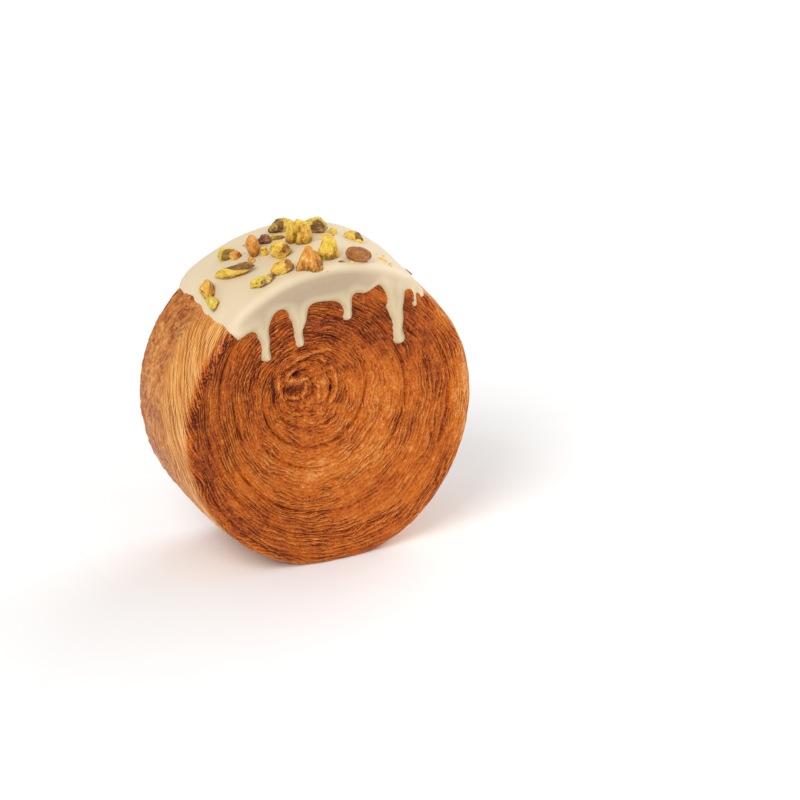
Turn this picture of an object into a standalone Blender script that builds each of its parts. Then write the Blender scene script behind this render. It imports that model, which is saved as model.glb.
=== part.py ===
"""Pistachio swirl croissant: a puck of rolled, laminated dough that stands on its rim.

Pale icing covers its top, runs down both faces in drips and holds chopped pistachios.
Metres, +Z up. The shown face looks along -Y, and the origin lies under the middle of the
puck, on the surface that it stands on. Angles on a face start at +X and run towards +Z.
"""

import math
import random

import bmesh
import bpy
from mathutils import Matrix, Vector

MM = 0.001

# The puck of rolled dough
RADIUS = 55.45 * MM
THICKNESS = 46 * MM
HEIGHT_STRETCH = 1.023  # it is a little taller than wide
RIM_ROUND = 3.5 * MM
WALL_BULGE = 0.7 * MM
CENTRE_Z = 56.4 * MM  # less than the outline's lowest point, as the rim has flattened where it stands

# How unevenly the dough has risen in its ring: beats round it, then mm along their cosine and sine
LOBES = (
    (1, 0.10, -0.66),
    (2, -0.27, -0.76),
    (3, -0.38, 0.50),
    (5, 0.11, 0.05),
)

# The swirl on both faces
SWIRL_X = -13 * MM
SWIRL_Z = 17 * MM
TURNS = 9.3
TURN_SHIFT = 0.37  # how far along the strip the outermost grooves lie
TURN_GROWTH = 1.3  # over 1, so that the outer turns are thicker than the inner ones
CREST_SKEW = 0.8  # under 1, so that each turn is highest near its inner groove
GROOVE_DEPTH = 1.3 * MM
GROOVE_SWAY = 0.3  # the share of a groove's depth that comes and goes along the strip
GROOVE_BEAT = 1.37  # how often it does so in a turn
GROOVE_START = 0.6
HEART_SHARE = 0.04  # no grooves nearer to the swirl's centre
RIM_SHARE = 0.93  # and they fade out from here to the rim
SWIRL_DOME = 1.8 * MM
DOME_SHARE = 0.34
CUP_X = -14.9 * MM  # the hollow below the swirl's centre
CUP_Z = 13.9 * MM
CUP_REACH = 3.0 * MM
CUP_DEPTH = 1.6 * MM
CUT_ANGLE = math.radians(120)  # round here the rim cuts across the turns
CUT_WIDTH = math.radians(42)
CUT_STRETCH = 0.42
CUT_SHARES = (0.25, 0.6)  # where the cut begins to pull on the turns, and where it does so fully
COLUMNS = 54
ROWS_A_TURN = 3

# The round wall
WALL_ROWS = 8
ROUND_ROWS = 3
LEAF_RISE = 0.3 * MM  # layers that stand out round the wall
LEAF_BEAT = 2.6
FLAKE_RISE = 0.35 * MM  # ragged leaves along the back rim
FLAKE_BEATS = (17, 5)
FLAKE_DEPTHS = (0.2, 0.45)  # shares of the thickness between which they set in

# The icing
ICING_GAP = 0.4 * MM
ICING_THICK = 1.5 * MM
ICING_LEFT = -44.5  # degrees from the top, positive towards +X
ICING_RIGHT = 41
ICING_COLUMNS = 44
ICING_FACE_ROWS = 2
ICING_WALL_ROWS = 4
MOST_LEAN = 0.95  # how far round a rim a nut can sit
DRIP_FLARE = 0.8  # how far a drip pulls the band down where it starts, of its width
DRIP_FLARE_WIDTH = 2.9 * MM
DRIP_THICK = 0.95 * MM  # half a drip's thickness
DRIP_SIDES = 2
DRIP_STATIONS = (0.0, 0.5, 0.8, 0.92, 1.0)  # shares of its length
DRIP_WIDTHS = (0.75, 0.85, 1.0, 0.85, 0.3)  # shares of its width at these stations

# How far the icing reaches down each face between its drips: degrees from the top, mm from the rim
FRONT_BAND = (
    (-44.5, 5.9),
    (-36, 6.1),
    (-25, 6.0),
    (-12, 9.0),
    (0, 10.0),
    (10, 7.5),
    (15, 8.1),
    (22, 3.9),
    (41, 3.8),
)
BACK_BAND = (
    (-44.5, 3.9),
    (-31, 5.6),
    (-24, 5.2),
    (-10, 7.4),
    (-3, 7.0),
    (9, 8.6),
    (20, 5.0),
    (41, 3.9),
)

# Drips in mm from the middle of the face: x at the band, x at the tip, z of the tip, width
FRONT_DRIPS = (
    (-26.4, -24.9, 27.2, 3.9),
    (-12.9, -12.4, 30.3, 3.5),
    (5.6, 6.3, 37.2, 3.4),
    (23.9, 25.8, 24.4, 4.9),
    (31.5, 32.2, 37.5, 1.6),
)
BACK_DRIPS = (
    (-29.5, -29.9, 27.8, 4.0),
    (-15.6, -15.1, 36.6, 3.2),
    (2.5, 2.9, 26.4, 4.3),
    (14.8, 14.9, 38.0, 3.0),
    (28.2, 27.8, 31.5, 3.8),
)

# How a kernel is chopped: each slice's heading and slope in degrees, and its place in the kernel
CHOPS = {
    "kernel": (),
    "half": ((90, 10, 0.2), (200, 30, 0.75)),
    "boat": ((150, 5, 0.5), (212, 8, 0.42), (90, 58, 0.42), (25, 15, 0.8)),
    "shard": ((150, 15, 0.6), (205, 38, 0.45), (285, 22, 0.5), (20, 30, 0.7)),
    "chunk": ((10, 10, 0.7), (135, 20, 0.6), (250, 5, 0.65), (60, 70, 0.7)),
    "crag": ((262, 24, 0.5), (10, 36, 0.6), (150, 42, 0.6), (330, 5, 0.7)),
    "block": ((235, 6, 0.6), (305, 8, 0.6), (20, 18, 0.62), (130, 12, 0.66), (0, 86, 0.72)),
    "tooth": ((5, 6, 0.72), (182, 12, 0.66), (268, 16, 0.62), (92, 22, 0.7), (60, 66, 0.8)),
    "pyramid": ((0, 38, 0.5), (95, 30, 0.55), (185, 40, 0.45), (275, 34, 0.5)),
    "wedge": ((80, 42, 0.4), (180, 10, 0.75), (275, 15, 0.6)),
}

# Swells and hollows of a kernel: heading, slope and width in degrees, and how far out
SWELLS = {
    "half": ((265, 30, 34, -0.3),),
    "boat": ((265, 0, 30, 0.16),),
    "chunk": ((240, 25, 24, -0.2), (320, 30, 26, 0.12)),
    "crag": ((285, 15, 20, -0.16), (180, 30, 24, 0.12)),
    "tooth": ((290, 10, 20, -0.14),),
    "pyramid": ((320, 20, 20, -0.14),),
}

# Chopped nuts: degrees from the top, mm behind the middle, mm long, wide and high, heading, chop
LARGE_NUTS = (
    (-2.2, 14.4, 10.9, 6.4, 5.0, -8, "shard"),
    (-1.0, 2.2, 9.2, 8.0, 8.8, -24, "chunk"),
    (8.2, 9.5, 9.4, 6.4, 6.0, -24, "crag"),
    (2.6, -13.8, 7.7, 7.4, 8.5, -24, "tooth"),
    (12.4, -18.0, 9.4, 6.0, 5.2, -20, "kernel"),
    (-6.2, -18.0, 9.5, 8.0, 8.6, -24, "pyramid"),
    (-10.7, -4.2, 8.0, 6.6, 5.4, -24, "block"),
    (-17.5, 3.4, 7.4, 4.6, 8.0, 65, "kernel"),
    (-27.6, -2.1, 16.8, 5.6, 5.4, -38, "boat"),
    (-23.5, -15.8, 9.4, 4.8, 4.2, -6, "wedge"),
    (-15.1, -14.8, 8.2, 6.2, 5.4, -10, "chunk"),
)
SMALL_NUTS = (
    (13.8, 7.2, 2.8, 3.2, 3.2, 0, "chunk"),
    (9.8, 2.6, 4.2, 2.6, 2.4, -10, "half"),
    (21.0, 3.6, 7.0, 4.8, 4.2, -24, "wedge"),
    (22.1, 0.8, 2.8, 2.4, 2.2, -24, "chunk"),
    (-15.1, 0.4, 2.8, 2.6, 4.2, -24, "chunk"),
    (-11.3, 8.9, 5.0, 4.2, 4.2, -24, "chunk"),
    (-7.0, 8.4, 6.0, 2.4, 2.6, -24, "half"),
    (-23.2, 7.6, 4.7, 4.0, 3.6, -24, "block"),
    (-25.2, 11.0, 6.7, 4.8, 5.0, -24, "half"),
    (-39.4, -1.2, 6.4, 5.2, 6.2, 60, "chunk"),
    (-40.7, -8.0, 6.0, 4.0, 4.4, 70, "half"),
    (23.5, -14.7, 4.8, 2.6, 2.0, -24, "half"),
    (24.3, -18.0, 4.0, 1.8, 1.5, -24, "chunk"),
    (5.8, -18.9, 3.0, 1.3, 1.4, -10, "wedge"),
    (-20.6, -0.6, 2.4, 2.2, 3.6, -24, "kernel"),
)
NUT_SUNK = 0.8 * MM  # how deep a small one sits in the icing
NUT_GAP = 0.3 * MM  # between a large one and the icing that it lies on
NUT_FLAT = 0.6 * MM  # how much of a large one is flattened where it lies
CHOP_SEED = 7
CHOP_TURN = 12  # how far a slice may be turned from the plan, in degrees

PASTRY_COLOUR = (0.56, 0.22, 0.055, 1)
PASTRY_ROUGHNESS = 0.45
ICING_COLOUR = (0.86, 0.77, 0.58, 1)
ICING_ROUGHNESS = 0.4
NUT_COLOUR = (0.55, 0.47, 0.10, 1)
NUT_ROUGHNESS = 0.6
SHARP_ANGLE = math.radians(40)
WELD = 0.1 * MM
NUT_WELD = 0.06  # before the nut gets its size


def clear_scene():
    for obj in list(bpy.data.objects):
        bpy.data.objects.remove(obj)


def make_material(name, colour, roughness):
    material = bpy.data.materials.new(name)
    material.use_nodes = True
    shader = material.node_tree.nodes["Principled BSDF"]
    shader.inputs["Base Color"].default_value = colour
    shader.inputs["Roughness"].default_value = roughness
    shader.inputs["Metallic"].default_value = 0.0
    return material


def make_collection(name, parent):
    collection = bpy.data.collections.new(name)
    parent.children.link(collection)
    return collection


def add_object(name, mesh, collection, material):
    """Makes an object of a bmesh, shaded smooth but for its sharp edges."""
    data = bpy.data.meshes.new(name)
    mesh.to_mesh(data)
    mesh.free()
    data.shade_smooth()
    data.set_sharp_from_angle(angle=SHARP_ANGLE)
    data.materials.append(material)
    obj = bpy.data.objects.new(name, data)
    collection.objects.link(obj)
    return obj


def face_outward(mesh):
    """Turns the faces of a closed shape so that all of them point out of it."""
    bmesh.ops.recalc_face_normals(mesh, faces=mesh.faces)
    if mesh.calc_volume(signed=True) < 0:
        bmesh.ops.reverse_faces(mesh, faces=mesh.faces)


def smooth_step(low, high, value):
    share = min(1.0, max(0.0, (value - low) / (high - low)))
    return share * share * (3 - 2 * share)


def bump(value, middle, width):
    return math.exp(-(((value - middle) / width) ** 2))


def outline(angle, inset=0.0):
    """A point (x, z) of the puck's outline, seen along its axis, or of a line inside it."""
    reach = RADIUS - inset
    for beats, cosine, sine in LOBES:
        reach += (cosine * math.cos(beats * angle) + sine * math.sin(beats * angle)) * MM
    return Vector((reach * math.cos(angle), HEIGHT_STRETCH * reach * math.sin(angle)))


def turn_share(turn, angle):
    """How far a turn of the dough lies on the way from the swirl's centre to the rim, from 0 to 1."""
    share = (max(turn, 0.0) / TURNS) ** TURN_GROWTH
    past_cut = (angle - CUT_ANGLE + math.pi) % (2 * math.pi) - math.pi
    share *= 1 + CUT_STRETCH * bump(past_cut, 0.0, CUT_WIDTH) * smooth_step(*CUT_SHARES, share)
    return min(share, 1.0)


def swirl_point(along, across, side):
    """A point of the swirl: along counts turns, and across runs from one groove to the next."""
    angle = 2 * math.pi * along
    turn = along + across - 1 - TURN_SHIFT
    share = turn_share(turn, angle)
    centre = Vector((SWIRL_X, SWIRL_Z))
    x, z = centre + share * (outline(angle, RIM_ROUND) - centre)
    crest = math.sin(math.pi * across**CREST_SKEW)
    strength = 1 - GROOVE_SWAY + GROOVE_SWAY * math.sin(2 * math.pi * GROOVE_BEAT * turn + GROOVE_START)
    window = smooth_step(0, HEART_SHARE, share) * smooth_step(1, RIM_SHARE, share)
    groove = GROOVE_DEPTH * strength * (1 - crest) * window
    dome = SWIRL_DOME * (1 - smooth_step(0, DOME_SHARE, share))
    cup = CUP_DEPTH * bump(math.hypot(x - CUP_X, z - CUP_Z), 0.0, CUP_REACH)
    return Vector((x, side * (THICKNESS / 2 + dome - groove - cup), z))


def add_swirl(mesh, side):
    """One face: the edge of a long strip of dough rolled up, its turns meeting in the grooves."""
    turns = math.ceil(TURNS) + 1
    strip = bmesh.ops.create_grid(
        mesh, x_segments=COLUMNS * turns, y_segments=ROWS_A_TURN, size=1
    )
    for vert in strip["verts"]:
        along = (vert.co.x + 1) / 2 * turns
        across = (vert.co.y + 1) / 2
        vert.co = swirl_point(along, across, side)


def wall_profile():
    """Steps round the wall's section from the front face to the back: how far out, and how far back."""
    half = THICKNESS / 2 - RIM_ROUND
    front = []
    for row in range(ROUND_ROWS + 1):
        turn = math.pi / 2 * row / ROUND_ROWS
        front.append(
            (RIM_ROUND * math.sin(turn) - RIM_ROUND, -half - RIM_ROUND * math.cos(turn))
        )
    wall = []
    for row in range(1, WALL_ROWS):
        share = 2 * row / WALL_ROWS - 1
        leaf = LEAF_RISE * math.sin(LEAF_BEAT * row)
        wall.append((WALL_BULGE * (1 - share**2) + leaf, half * share))
    back = [(out, -depth) for out, depth in reversed(front)]
    return front + wall + back


def add_wall(mesh):
    """The round wall with its two rounded rims, ragged along the back one."""
    steps = wall_profile()
    band = bmesh.ops.create_grid(
        mesh, x_segments=COLUMNS, y_segments=len(steps) - 1, size=1
    )
    for vert in band["verts"]:
        angle = math.pi * (vert.co.x + 1)
        out, depth = steps[round((vert.co.y + 1) / 2 * (len(steps) - 1))]
        ragged = smooth_step(*FLAKE_DEPTHS, depth / THICKNESS) * smooth_step(-RIM_ROUND, 0, out)
        beats = math.sin(FLAKE_BEATS[0] * angle) * math.sin(FLAKE_BEATS[1] * angle + 1)
        out += FLAKE_RISE * ragged * beats
        x, z = outline(angle, -out)
        vert.co = Vector((x, depth, z))


def make_pastry(collection, material):
    """The rolled dough, cut flat where it stands on the ground."""
    mesh = bmesh.new()
    add_swirl(mesh, -1)
    add_swirl(mesh, 1)
    add_wall(mesh)
    bmesh.ops.remove_doubles(mesh, verts=mesh.verts, dist=WELD)
    bmesh.ops.translate(mesh, verts=mesh.verts, vec=(0, 0, CENTRE_Z))
    slice_off(mesh, Vector((0, 0, 0)), Vector((0, 0, -1)))
    face_outward(mesh)
    return add_object("pastry", mesh, collection, material)


def reach_down(from_top, band, drips):
    """How far the icing reaches down a face, at an angle in degrees from the top."""
    for (left, before), (right, after) in zip(band, band[1:]):
        if left <= from_top <= right:
            width = before + (after - before) * smooth_step(left, right, from_top)
            break
    x = RADIUS * math.sin(math.radians(from_top))
    for drip in drips:
        width += DRIP_FLARE * drip[3] * bump(x, drip[0] * MM, DRIP_FLARE_WIDTH)
    return width * MM


def icing_underside(width, side):
    """Steps from the icing's edge on a face to the wall: how far out of the outline, and how far back."""
    face = side * (THICKNESS / 2 + ICING_GAP)
    steps = []
    for row in range(ICING_FACE_ROWS):
        inset = width + (RIM_ROUND - width) * row / ICING_FACE_ROWS
        steps.append((-inset, face))
    for row in range(ROUND_ROWS + 1):
        turn = math.pi / 2 * row / ROUND_ROWS
        out = (RIM_ROUND + ICING_GAP + LEAF_RISE) * math.sin(turn) - RIM_ROUND
        depth = (RIM_ROUND + ICING_GAP) * math.cos(turn)
        steps.append((out, side * (THICKNESS / 2 - RIM_ROUND + depth)))
    return steps


def wall_level(depth):
    """How far out of the outline the icing's underside lies on the wall."""
    share = min(1.0, abs(depth) / (THICKNESS / 2 - RIM_ROUND))
    return ICING_GAP + LEAF_RISE + WALL_BULGE * (1 - share**2)


def icing_section(from_top):
    """The icing's underside across the puck, from its edge on the front face to that on the back."""
    front = icing_underside(reach_down(from_top, FRONT_BAND, FRONT_DRIPS), -1)
    back = icing_underside(reach_down(from_top, BACK_BAND, BACK_DRIPS), 1)
    half = THICKNESS / 2 - RIM_ROUND
    wall = []
    for row in range(1, ICING_WALL_ROWS):
        depth = half * (2 * row / ICING_WALL_ROWS - 1)
        wall.append((wall_level(depth), depth))
    return front + wall + back[::-1]


def make_icing_sheet(collection, material):
    """The coat over the top and the upper edge of both faces, as a shell of even thickness."""
    rows = len(icing_section(0)) - 1
    mesh = bmesh.new()
    sheet = bmesh.ops.create_grid(
        mesh, x_segments=ICING_COLUMNS, y_segments=rows, size=1
    )
    for vert in sheet["verts"]:
        from_top = ICING_LEFT + (ICING_RIGHT - ICING_LEFT) * (vert.co.x + 1) / 2
        out, depth = icing_section(from_top)[round((vert.co.y + 1) / 2 * rows)]
        x, z = outline(math.radians(90 - from_top), -out)
        vert.co = Vector((x, depth, z + CENTRE_Z))
    bmesh.ops.recalc_face_normals(mesh, faces=mesh.faces)
    if sum(face.normal.z for face in mesh.faces) < 0:
        bmesh.ops.reverse_faces(mesh, faces=mesh.faces)
    obj = add_object("icing", mesh, collection, material)
    shell = obj.modifiers.new("Thickness", "SOLIDIFY")
    shell.thickness = ICING_THICK
    shell.offset = 1
    return obj


def make_drip(index, side, drip, collection, material):
    """A drip: a flattened round tube that narrows to a rounded tip."""
    top_x, tip_x, tip_z, width = (value * MM for value in drip)
    start = outline(math.acos(top_x / RADIUS), RIM_ROUND).y
    curve = bpy.data.curves.new(f"drip_{side}_{index}", "CURVE")
    curve.dimensions = "3D"
    curve.bevel_depth = width / 2
    curve.bevel_resolution = DRIP_SIDES
    curve.use_fill_caps = True
    line = curve.splines.new("POLY")
    line.points.add(len(DRIP_STATIONS) - 1)
    for point, share, wide in zip(line.points, DRIP_STATIONS, DRIP_WIDTHS):
        x = top_x + (tip_x - top_x) * share
        point.co = (x, 0, start + (tip_z - start) * share, 1)
        point.radius = wide
    tube = bpy.data.objects.new(curve.name, curve)
    collection.objects.link(tube)
    bpy.context.view_layer.update()
    data = bpy.data.meshes.new_from_object(
        tube.evaluated_get(bpy.context.evaluated_depsgraph_get())
    )
    bpy.data.objects.remove(tube)
    mesh = bmesh.new()
    mesh.from_mesh(data)
    bmesh.ops.remove_doubles(mesh, verts=mesh.verts, dist=WELD / 10)
    depth = side * (THICKNESS / 2 + ICING_GAP + DRIP_THICK)
    for vert in mesh.verts:
        flat = 2 * vert.co.y / width * DRIP_THICK
        vert.co = Vector((vert.co.x, depth + flat, vert.co.z + CENTRE_Z))
    face_outward(mesh)
    return add_object(curve.name, mesh, collection, material)


def slice_off(mesh, point, direction):
    """Takes off what lies past a plane, and closes the cut."""
    cut = bmesh.ops.bisect_plane(
        mesh,
        geom=mesh.verts[:] + mesh.edges[:] + mesh.faces[:],
        plane_co=point,
        plane_no=direction,
        clear_outer=True,
    )
    edges = [item for item in cut["geom_cut"] if isinstance(item, bmesh.types.BMEdge)]
    if edges:
        bmesh.ops.contextual_create(mesh, geom=edges)


def fill_unit_box(mesh):
    """Stretches a shape so that it reaches from -1 to 1 along each axis."""
    for axis in range(3):
        places = [vert.co[axis] for vert in mesh.verts]
        low = min(places)
        reach = max(places) - low
        for vert in mesh.verts:
            vert.co[axis] = 2 * (vert.co[axis] - low) / reach - 1


def icing_surface(from_top, depth):
    """A point on the icing and the direction out of it there, also round the rims."""
    angle = math.radians(90 - from_top)
    past = max(0.0, abs(depth) - (THICKNESS / 2 - RIM_ROUND))
    corner = RIM_ROUND + ICING_GAP + ICING_THICK
    lean = math.asin(min(MOST_LEAN, past / corner))
    out = wall_level(depth) + ICING_THICK - corner * (1 - math.cos(lean))
    x, z = outline(angle, -out)
    outward = Vector((math.cos(angle), 0, math.sin(angle))) * math.cos(lean)
    outward.y = math.copysign(math.sin(lean), depth)
    return Vector((x, depth, z + CENTRE_Z)), outward


def facing(heading, slope):
    """The direction with a heading and a slope, both in degrees."""
    turned = math.radians(heading)
    level = math.cos(math.radians(slope))
    return Vector((level * math.cos(turned), level * math.sin(turned), math.sin(math.radians(slope))))


def chop(mesh, kind, draw):
    """Gives a round kernel its swells and hollows, and then slices it."""
    swells = [(facing(*swell[:2]), *swell[2:]) for swell in SWELLS.get(kind, ())]
    for vert in mesh.verts:
        round_place = vert.co.copy()
        for direction, width, amount in swells:
            away = round_place.angle(direction)
            vert.co += round_place * amount * bump(away, 0.0, math.radians(width))
    for heading, slope, place in CHOPS[kind]:
        direction = facing(heading + draw.uniform(-CHOP_TURN, CHOP_TURN), slope)
        slice_off(mesh, direction * place, direction)


def make_nut(name, nut, large, draw, collection, material):
    """A chopped kernel, turned to its heading: a large one lies on the icing, a small one in it."""
    from_top, back, length, width, height = nut[:5]
    mesh = bmesh.new()
    bmesh.ops.create_icosphere(mesh, subdivisions=2 if large else 1, radius=1)
    chop(mesh, nut[6], draw)
    bmesh.ops.remove_doubles(mesh, verts=mesh.verts, dist=NUT_WELD)
    fill_unit_box(mesh)
    spot, outward = icing_surface(from_top, back * MM)
    rise = NUT_GAP - NUT_FLAT if large else -NUT_SUNK
    seat = spot + outward * (height / 2 * MM + rise)
    lean = Vector((0, 0, 1)).rotation_difference(outward).to_matrix().to_4x4()
    heading = Matrix.Rotation(math.radians(nut[5]), 4, "Z")
    size = Matrix.Diagonal((length / 2 * MM, width / 2 * MM, height / 2 * MM, 1))
    place = Matrix.Translation(seat) @ lean @ heading @ size
    bmesh.ops.transform(mesh, matrix=place, verts=mesh.verts)
    if large:
        slice_off(mesh, spot + outward * NUT_GAP, -outward)
    face_outward(mesh)
    return add_object(name, mesh, collection, material)


def fuse(obj, collection):
    """Joins what is in the collection to the object, and removes it."""
    join = obj.modifiers.new("Join", "BOOLEAN")
    join.operation = "UNION"
    join.operand_type = "COLLECTION"
    join.collection = collection
    join.solver = "EXACT"
    join.material_mode = "TRANSFER"
    bpy.context.view_layer.update()
    graph = bpy.context.evaluated_depsgraph_get()
    joined = bpy.data.meshes.new_from_object(obj.evaluated_get(graph))
    obj.modifiers.clear()
    obj.data = joined
    for part in list(collection.objects):
        bpy.data.objects.remove(part)
    bpy.data.collections.remove(collection)


def main():
    clear_scene()
    scene = bpy.context.scene.collection
    croissant = make_collection("pistachio_swirl_croissant", scene)
    toppings = make_collection("toppings", scene)
    crust = make_material("crust", PASTRY_COLOUR, PASTRY_ROUGHNESS)
    cream = make_material("icing", ICING_COLOUR, ICING_ROUGHNESS)
    kernel = make_material("pistachio", NUT_COLOUR, NUT_ROUGHNESS)
    make_pastry(croissant, crust)
    icing = make_icing_sheet(croissant, cream)
    for side, drips in ((-1, FRONT_DRIPS), (1, BACK_DRIPS)):
        for index, drip in enumerate(drips):
            make_drip(index, side, drip, toppings, cream)
    draw = random.Random(CHOP_SEED)
    for index, nut in enumerate(LARGE_NUTS):
        make_nut(f"nut_{index + 1:02d}", nut, True, draw, croissant, kernel)
    for index, nut in enumerate(SMALL_NUTS):
        make_nut(f"small_nut_{index + 1:02d}", nut, False, draw, toppings, kernel)
    fuse(icing, toppings)


main()
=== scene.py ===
"""Pistachio swirl croissant: the finish of its rolled dough, its icing and its chopped nuts.

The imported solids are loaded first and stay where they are: each piece made here stands for one
of them or lies on one. Metres, +Z up. The shown face looks along -Y. Angles round a face start
at +X and run towards +Z, and places on the icing are counted in degrees from the top.
"""

import math
import random
from collections import namedtuple

import bmesh
import bpy
import numpy as np
from mathutils import Matrix, Vector


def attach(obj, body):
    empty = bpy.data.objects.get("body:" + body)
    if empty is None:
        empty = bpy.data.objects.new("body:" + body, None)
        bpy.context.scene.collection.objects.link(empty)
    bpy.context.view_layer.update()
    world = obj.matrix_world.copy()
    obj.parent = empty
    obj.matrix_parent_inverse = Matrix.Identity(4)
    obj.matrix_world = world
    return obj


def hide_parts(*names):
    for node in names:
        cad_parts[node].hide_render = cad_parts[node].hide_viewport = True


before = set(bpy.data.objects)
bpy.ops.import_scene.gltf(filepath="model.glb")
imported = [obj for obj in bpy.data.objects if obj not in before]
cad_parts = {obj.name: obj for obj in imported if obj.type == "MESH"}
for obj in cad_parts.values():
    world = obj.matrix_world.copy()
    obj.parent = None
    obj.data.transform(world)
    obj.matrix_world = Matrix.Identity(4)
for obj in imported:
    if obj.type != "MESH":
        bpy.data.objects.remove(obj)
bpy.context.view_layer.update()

bl_info = {
    "name": "Pistachio swirl croissant",
    "version": (1, 0, 0),
    "blender": (4, 5, 0),
    "location": "3D View > Sidebar > Croissant",
    "description": "Makes a rolled croissant with icing and chopped pistachios",
    "category": "Add Mesh",
}

MM = 0.001
BODY = "root"

# How unevenly the dough has risen in its ring: beats round it, then mm along their cosine and sine
LOBES = (
    (1, 0.10, -0.66),
    (2, -0.27, -0.76),
    (3, -0.38, 0.50),
    (5, 0.11, 0.05),
)
ROUND_ROWS = 6  # mesh rows round each rim

# Round here the rim cuts across the turns of the swirl
CUT_ANGLE = math.radians(120)
CUT_WIDTH = math.radians(42)
CUT_STRETCH = 0.42  # how much wider the outer turns lie there
CUT_CROWD = 1.6  # how much closer the mesh's columns lie there

# Petals and hollows in the heart of the swirl, each along a bent line, in mm from the middle of the
# face: the x and z of its ends, its bend, its half width, how far out it stands (OUT) and how much
# paler it is (PALER). A negative PALER is painted shade in a hollow, or a painted shadow below one
HEART = (
    (-14.5, 20.0, -13.9, 20.3, 0.0, 1.15, -1.3, -0.85),
    (-17.6, 19.9, -15.6, 21.7, 0.2, 0.5, 0.3, 0.40),
    (-16.6, 18.3, -13.0, 17.3, 0.3, 1.5, 0.8, 0.50),
    (-12.8, 18.1, -9.8, 17.9, 0.2, 0.5, 0.6, 0.80),
    (-17.2, 14.9, -14.2, 13.7, 0.0, 2.1, -0.9, -0.27),
    (-19.0, 18.1, -17.8, 17.0, 0.0, 0.6, -0.3, -0.30),
    (-11.3, 17.4, -12.2, 11.5, 1.0, 0.5, 0.4, 0.50),
    (-17.6, 12.6, -12.6, 11.5, -0.6, 0.5, 0.3, 0.34),
    # A painted shadow below the cup
    (-17.3, 11.1, -13.6, 10.3, -0.3, 0.5, -0.3, -0.45),
    (-20.3, 20.4, -18.4, 11.2, -1.4, 0.55, 0.45, 0.36),
    (-22.4, 21.5, -20.6, 10.4, -1.2, 0.6, -0.3, -0.26),
    (-8.8, 20.8, -6.2, 8.0, 1.6, 0.6, 0.5, 0.38),
    (-9.9, 19.0, -8.0, 9.4, 1.2, 0.55, -0.3, -0.24),
    (-4.2, 15.8, -3.0, 9.0, 0.6, 1.1, 0.5, 0.34),
    (-1.0, 15.4, -1.9, 8.8, 0.6, 0.5, -0.35, -0.38),
    (-0.6, 20.0, -0.9, 7.2, 2.2, 0.55, 0.5, 0.42),
    (-17.2, 23.6, -0.6, 27.0, 1.5, 0.55, 0.5, 0.42),
    (-15.6, 22.8, -2.8, 26.0, 1.3, 0.45, -0.2, -0.16),
    (-12.8, 7.3, -7.4, 10.4, -0.8, 0.55, 0.4, 0.36),
    (-19.6, 8.6, -11.0, 4.6, -1.4, 0.6, 0.3, 0.26),
    (-18.6, 7.4, -10.0, 3.6, -1.4, 0.5, -0.3, -0.22),
    (-6.0, 24.8, -3.0, 22.2, 0.8, 0.35, 0.3, 0.36),
    (-6.8, 23.8, -4.6, 21.6, 0.6, 0.35, 0.3, 0.32),
)

OUT, PALER = 6, 7  # columns of the heart's strokes
DOME_END = 0.34  # where the risen heart ends, as a share of the way to the rim
WALL_LANE = 0.42  # how fast the leaves follow each other across the wall, set against the faces
LEAF_RUN = 1.9  # how quickly the leaves sway as they go round
OWN_RUN = (5.0, 9.0)  # how quickly a leaf's own tone changes along it, and a seed
RUN_ACROSS = (14, 9)  # how quickly both change over the rim and across the wall
WALL_TURNS_BROWN = (-0.009, 0.004)  # the depths between which the wall turns from gold to brown
FOOT_SOFT = 0.5 * MM  # how softly the flat spot under the puck meets the wall
FLAKES_START = 1.5  # flakes lie only higher than this, in mm

# How fine the noises are, in beats for each metre
SPECKS = 1500
CRACKLE = 420
CLOUDS = 55
BEAD_SPECKS = 1200
BEAD_LUMPS = 800

BEADS = (math.radians(108), math.radians(178))  # where crumbly beads line the rim of the shown face
BEAD_LINE = (0.9, 1.4)  # how far past the flat of the face they lie, and their reach, in mm

# Soft patches of the crust: x, z, half width and half height in mm, and how much paler they are
PATCHES = (
    (-48, -12, 6, 22, -0.26),
    (-38, -34, 14, 8, -0.18),
    (-40, -1, 8, 14, 0.10),
    (-33, 14, 12, 18, -0.15),
    (4, 38, 26, 7, -0.26),
    (30, 28, 14, 16, -0.18),
    (6, 26, 22, 9, -0.12),
    (18, 4, 11, 20, 0.20),
    (4, -18, 24, 8, 0.16),
    (-22, -10, 10, 12, 0.06),
    (36, -8, 9, 26, 0.05),
    (-6, -46, 34, 7, -0.10),
    (-3, 4, 9, 12, -0.02),
    (-15, 14, 7, 7, -0.06),
    (51, -4, 4, 22, 0.34),
    (44, 34, 5, 8, 0.36),
)

# How far the icing reaches down each face between its drips: degrees from the top, mm from the rim
FRONT_BAND = (
    (-47, 5.2),
    (-44.5, 5.4),
    (-36, 6.1),
    (-25, 6.0),
    (-12, 9.0),
    (0, 10.0),
    (10, 7.5),
    (15, 8.1),
    (22, 3.9),
    (33, 2.0),
    (44, 1.4),
)
BACK_BAND = (
    (-47, 3.9),
    (-31, 5.6),
    (-24, 5.2),
    (-10, 7.4),
    (-3, 7.0),
    (9, 8.6),
    (20, 5.0),
    (44, 3.9),
)

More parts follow.
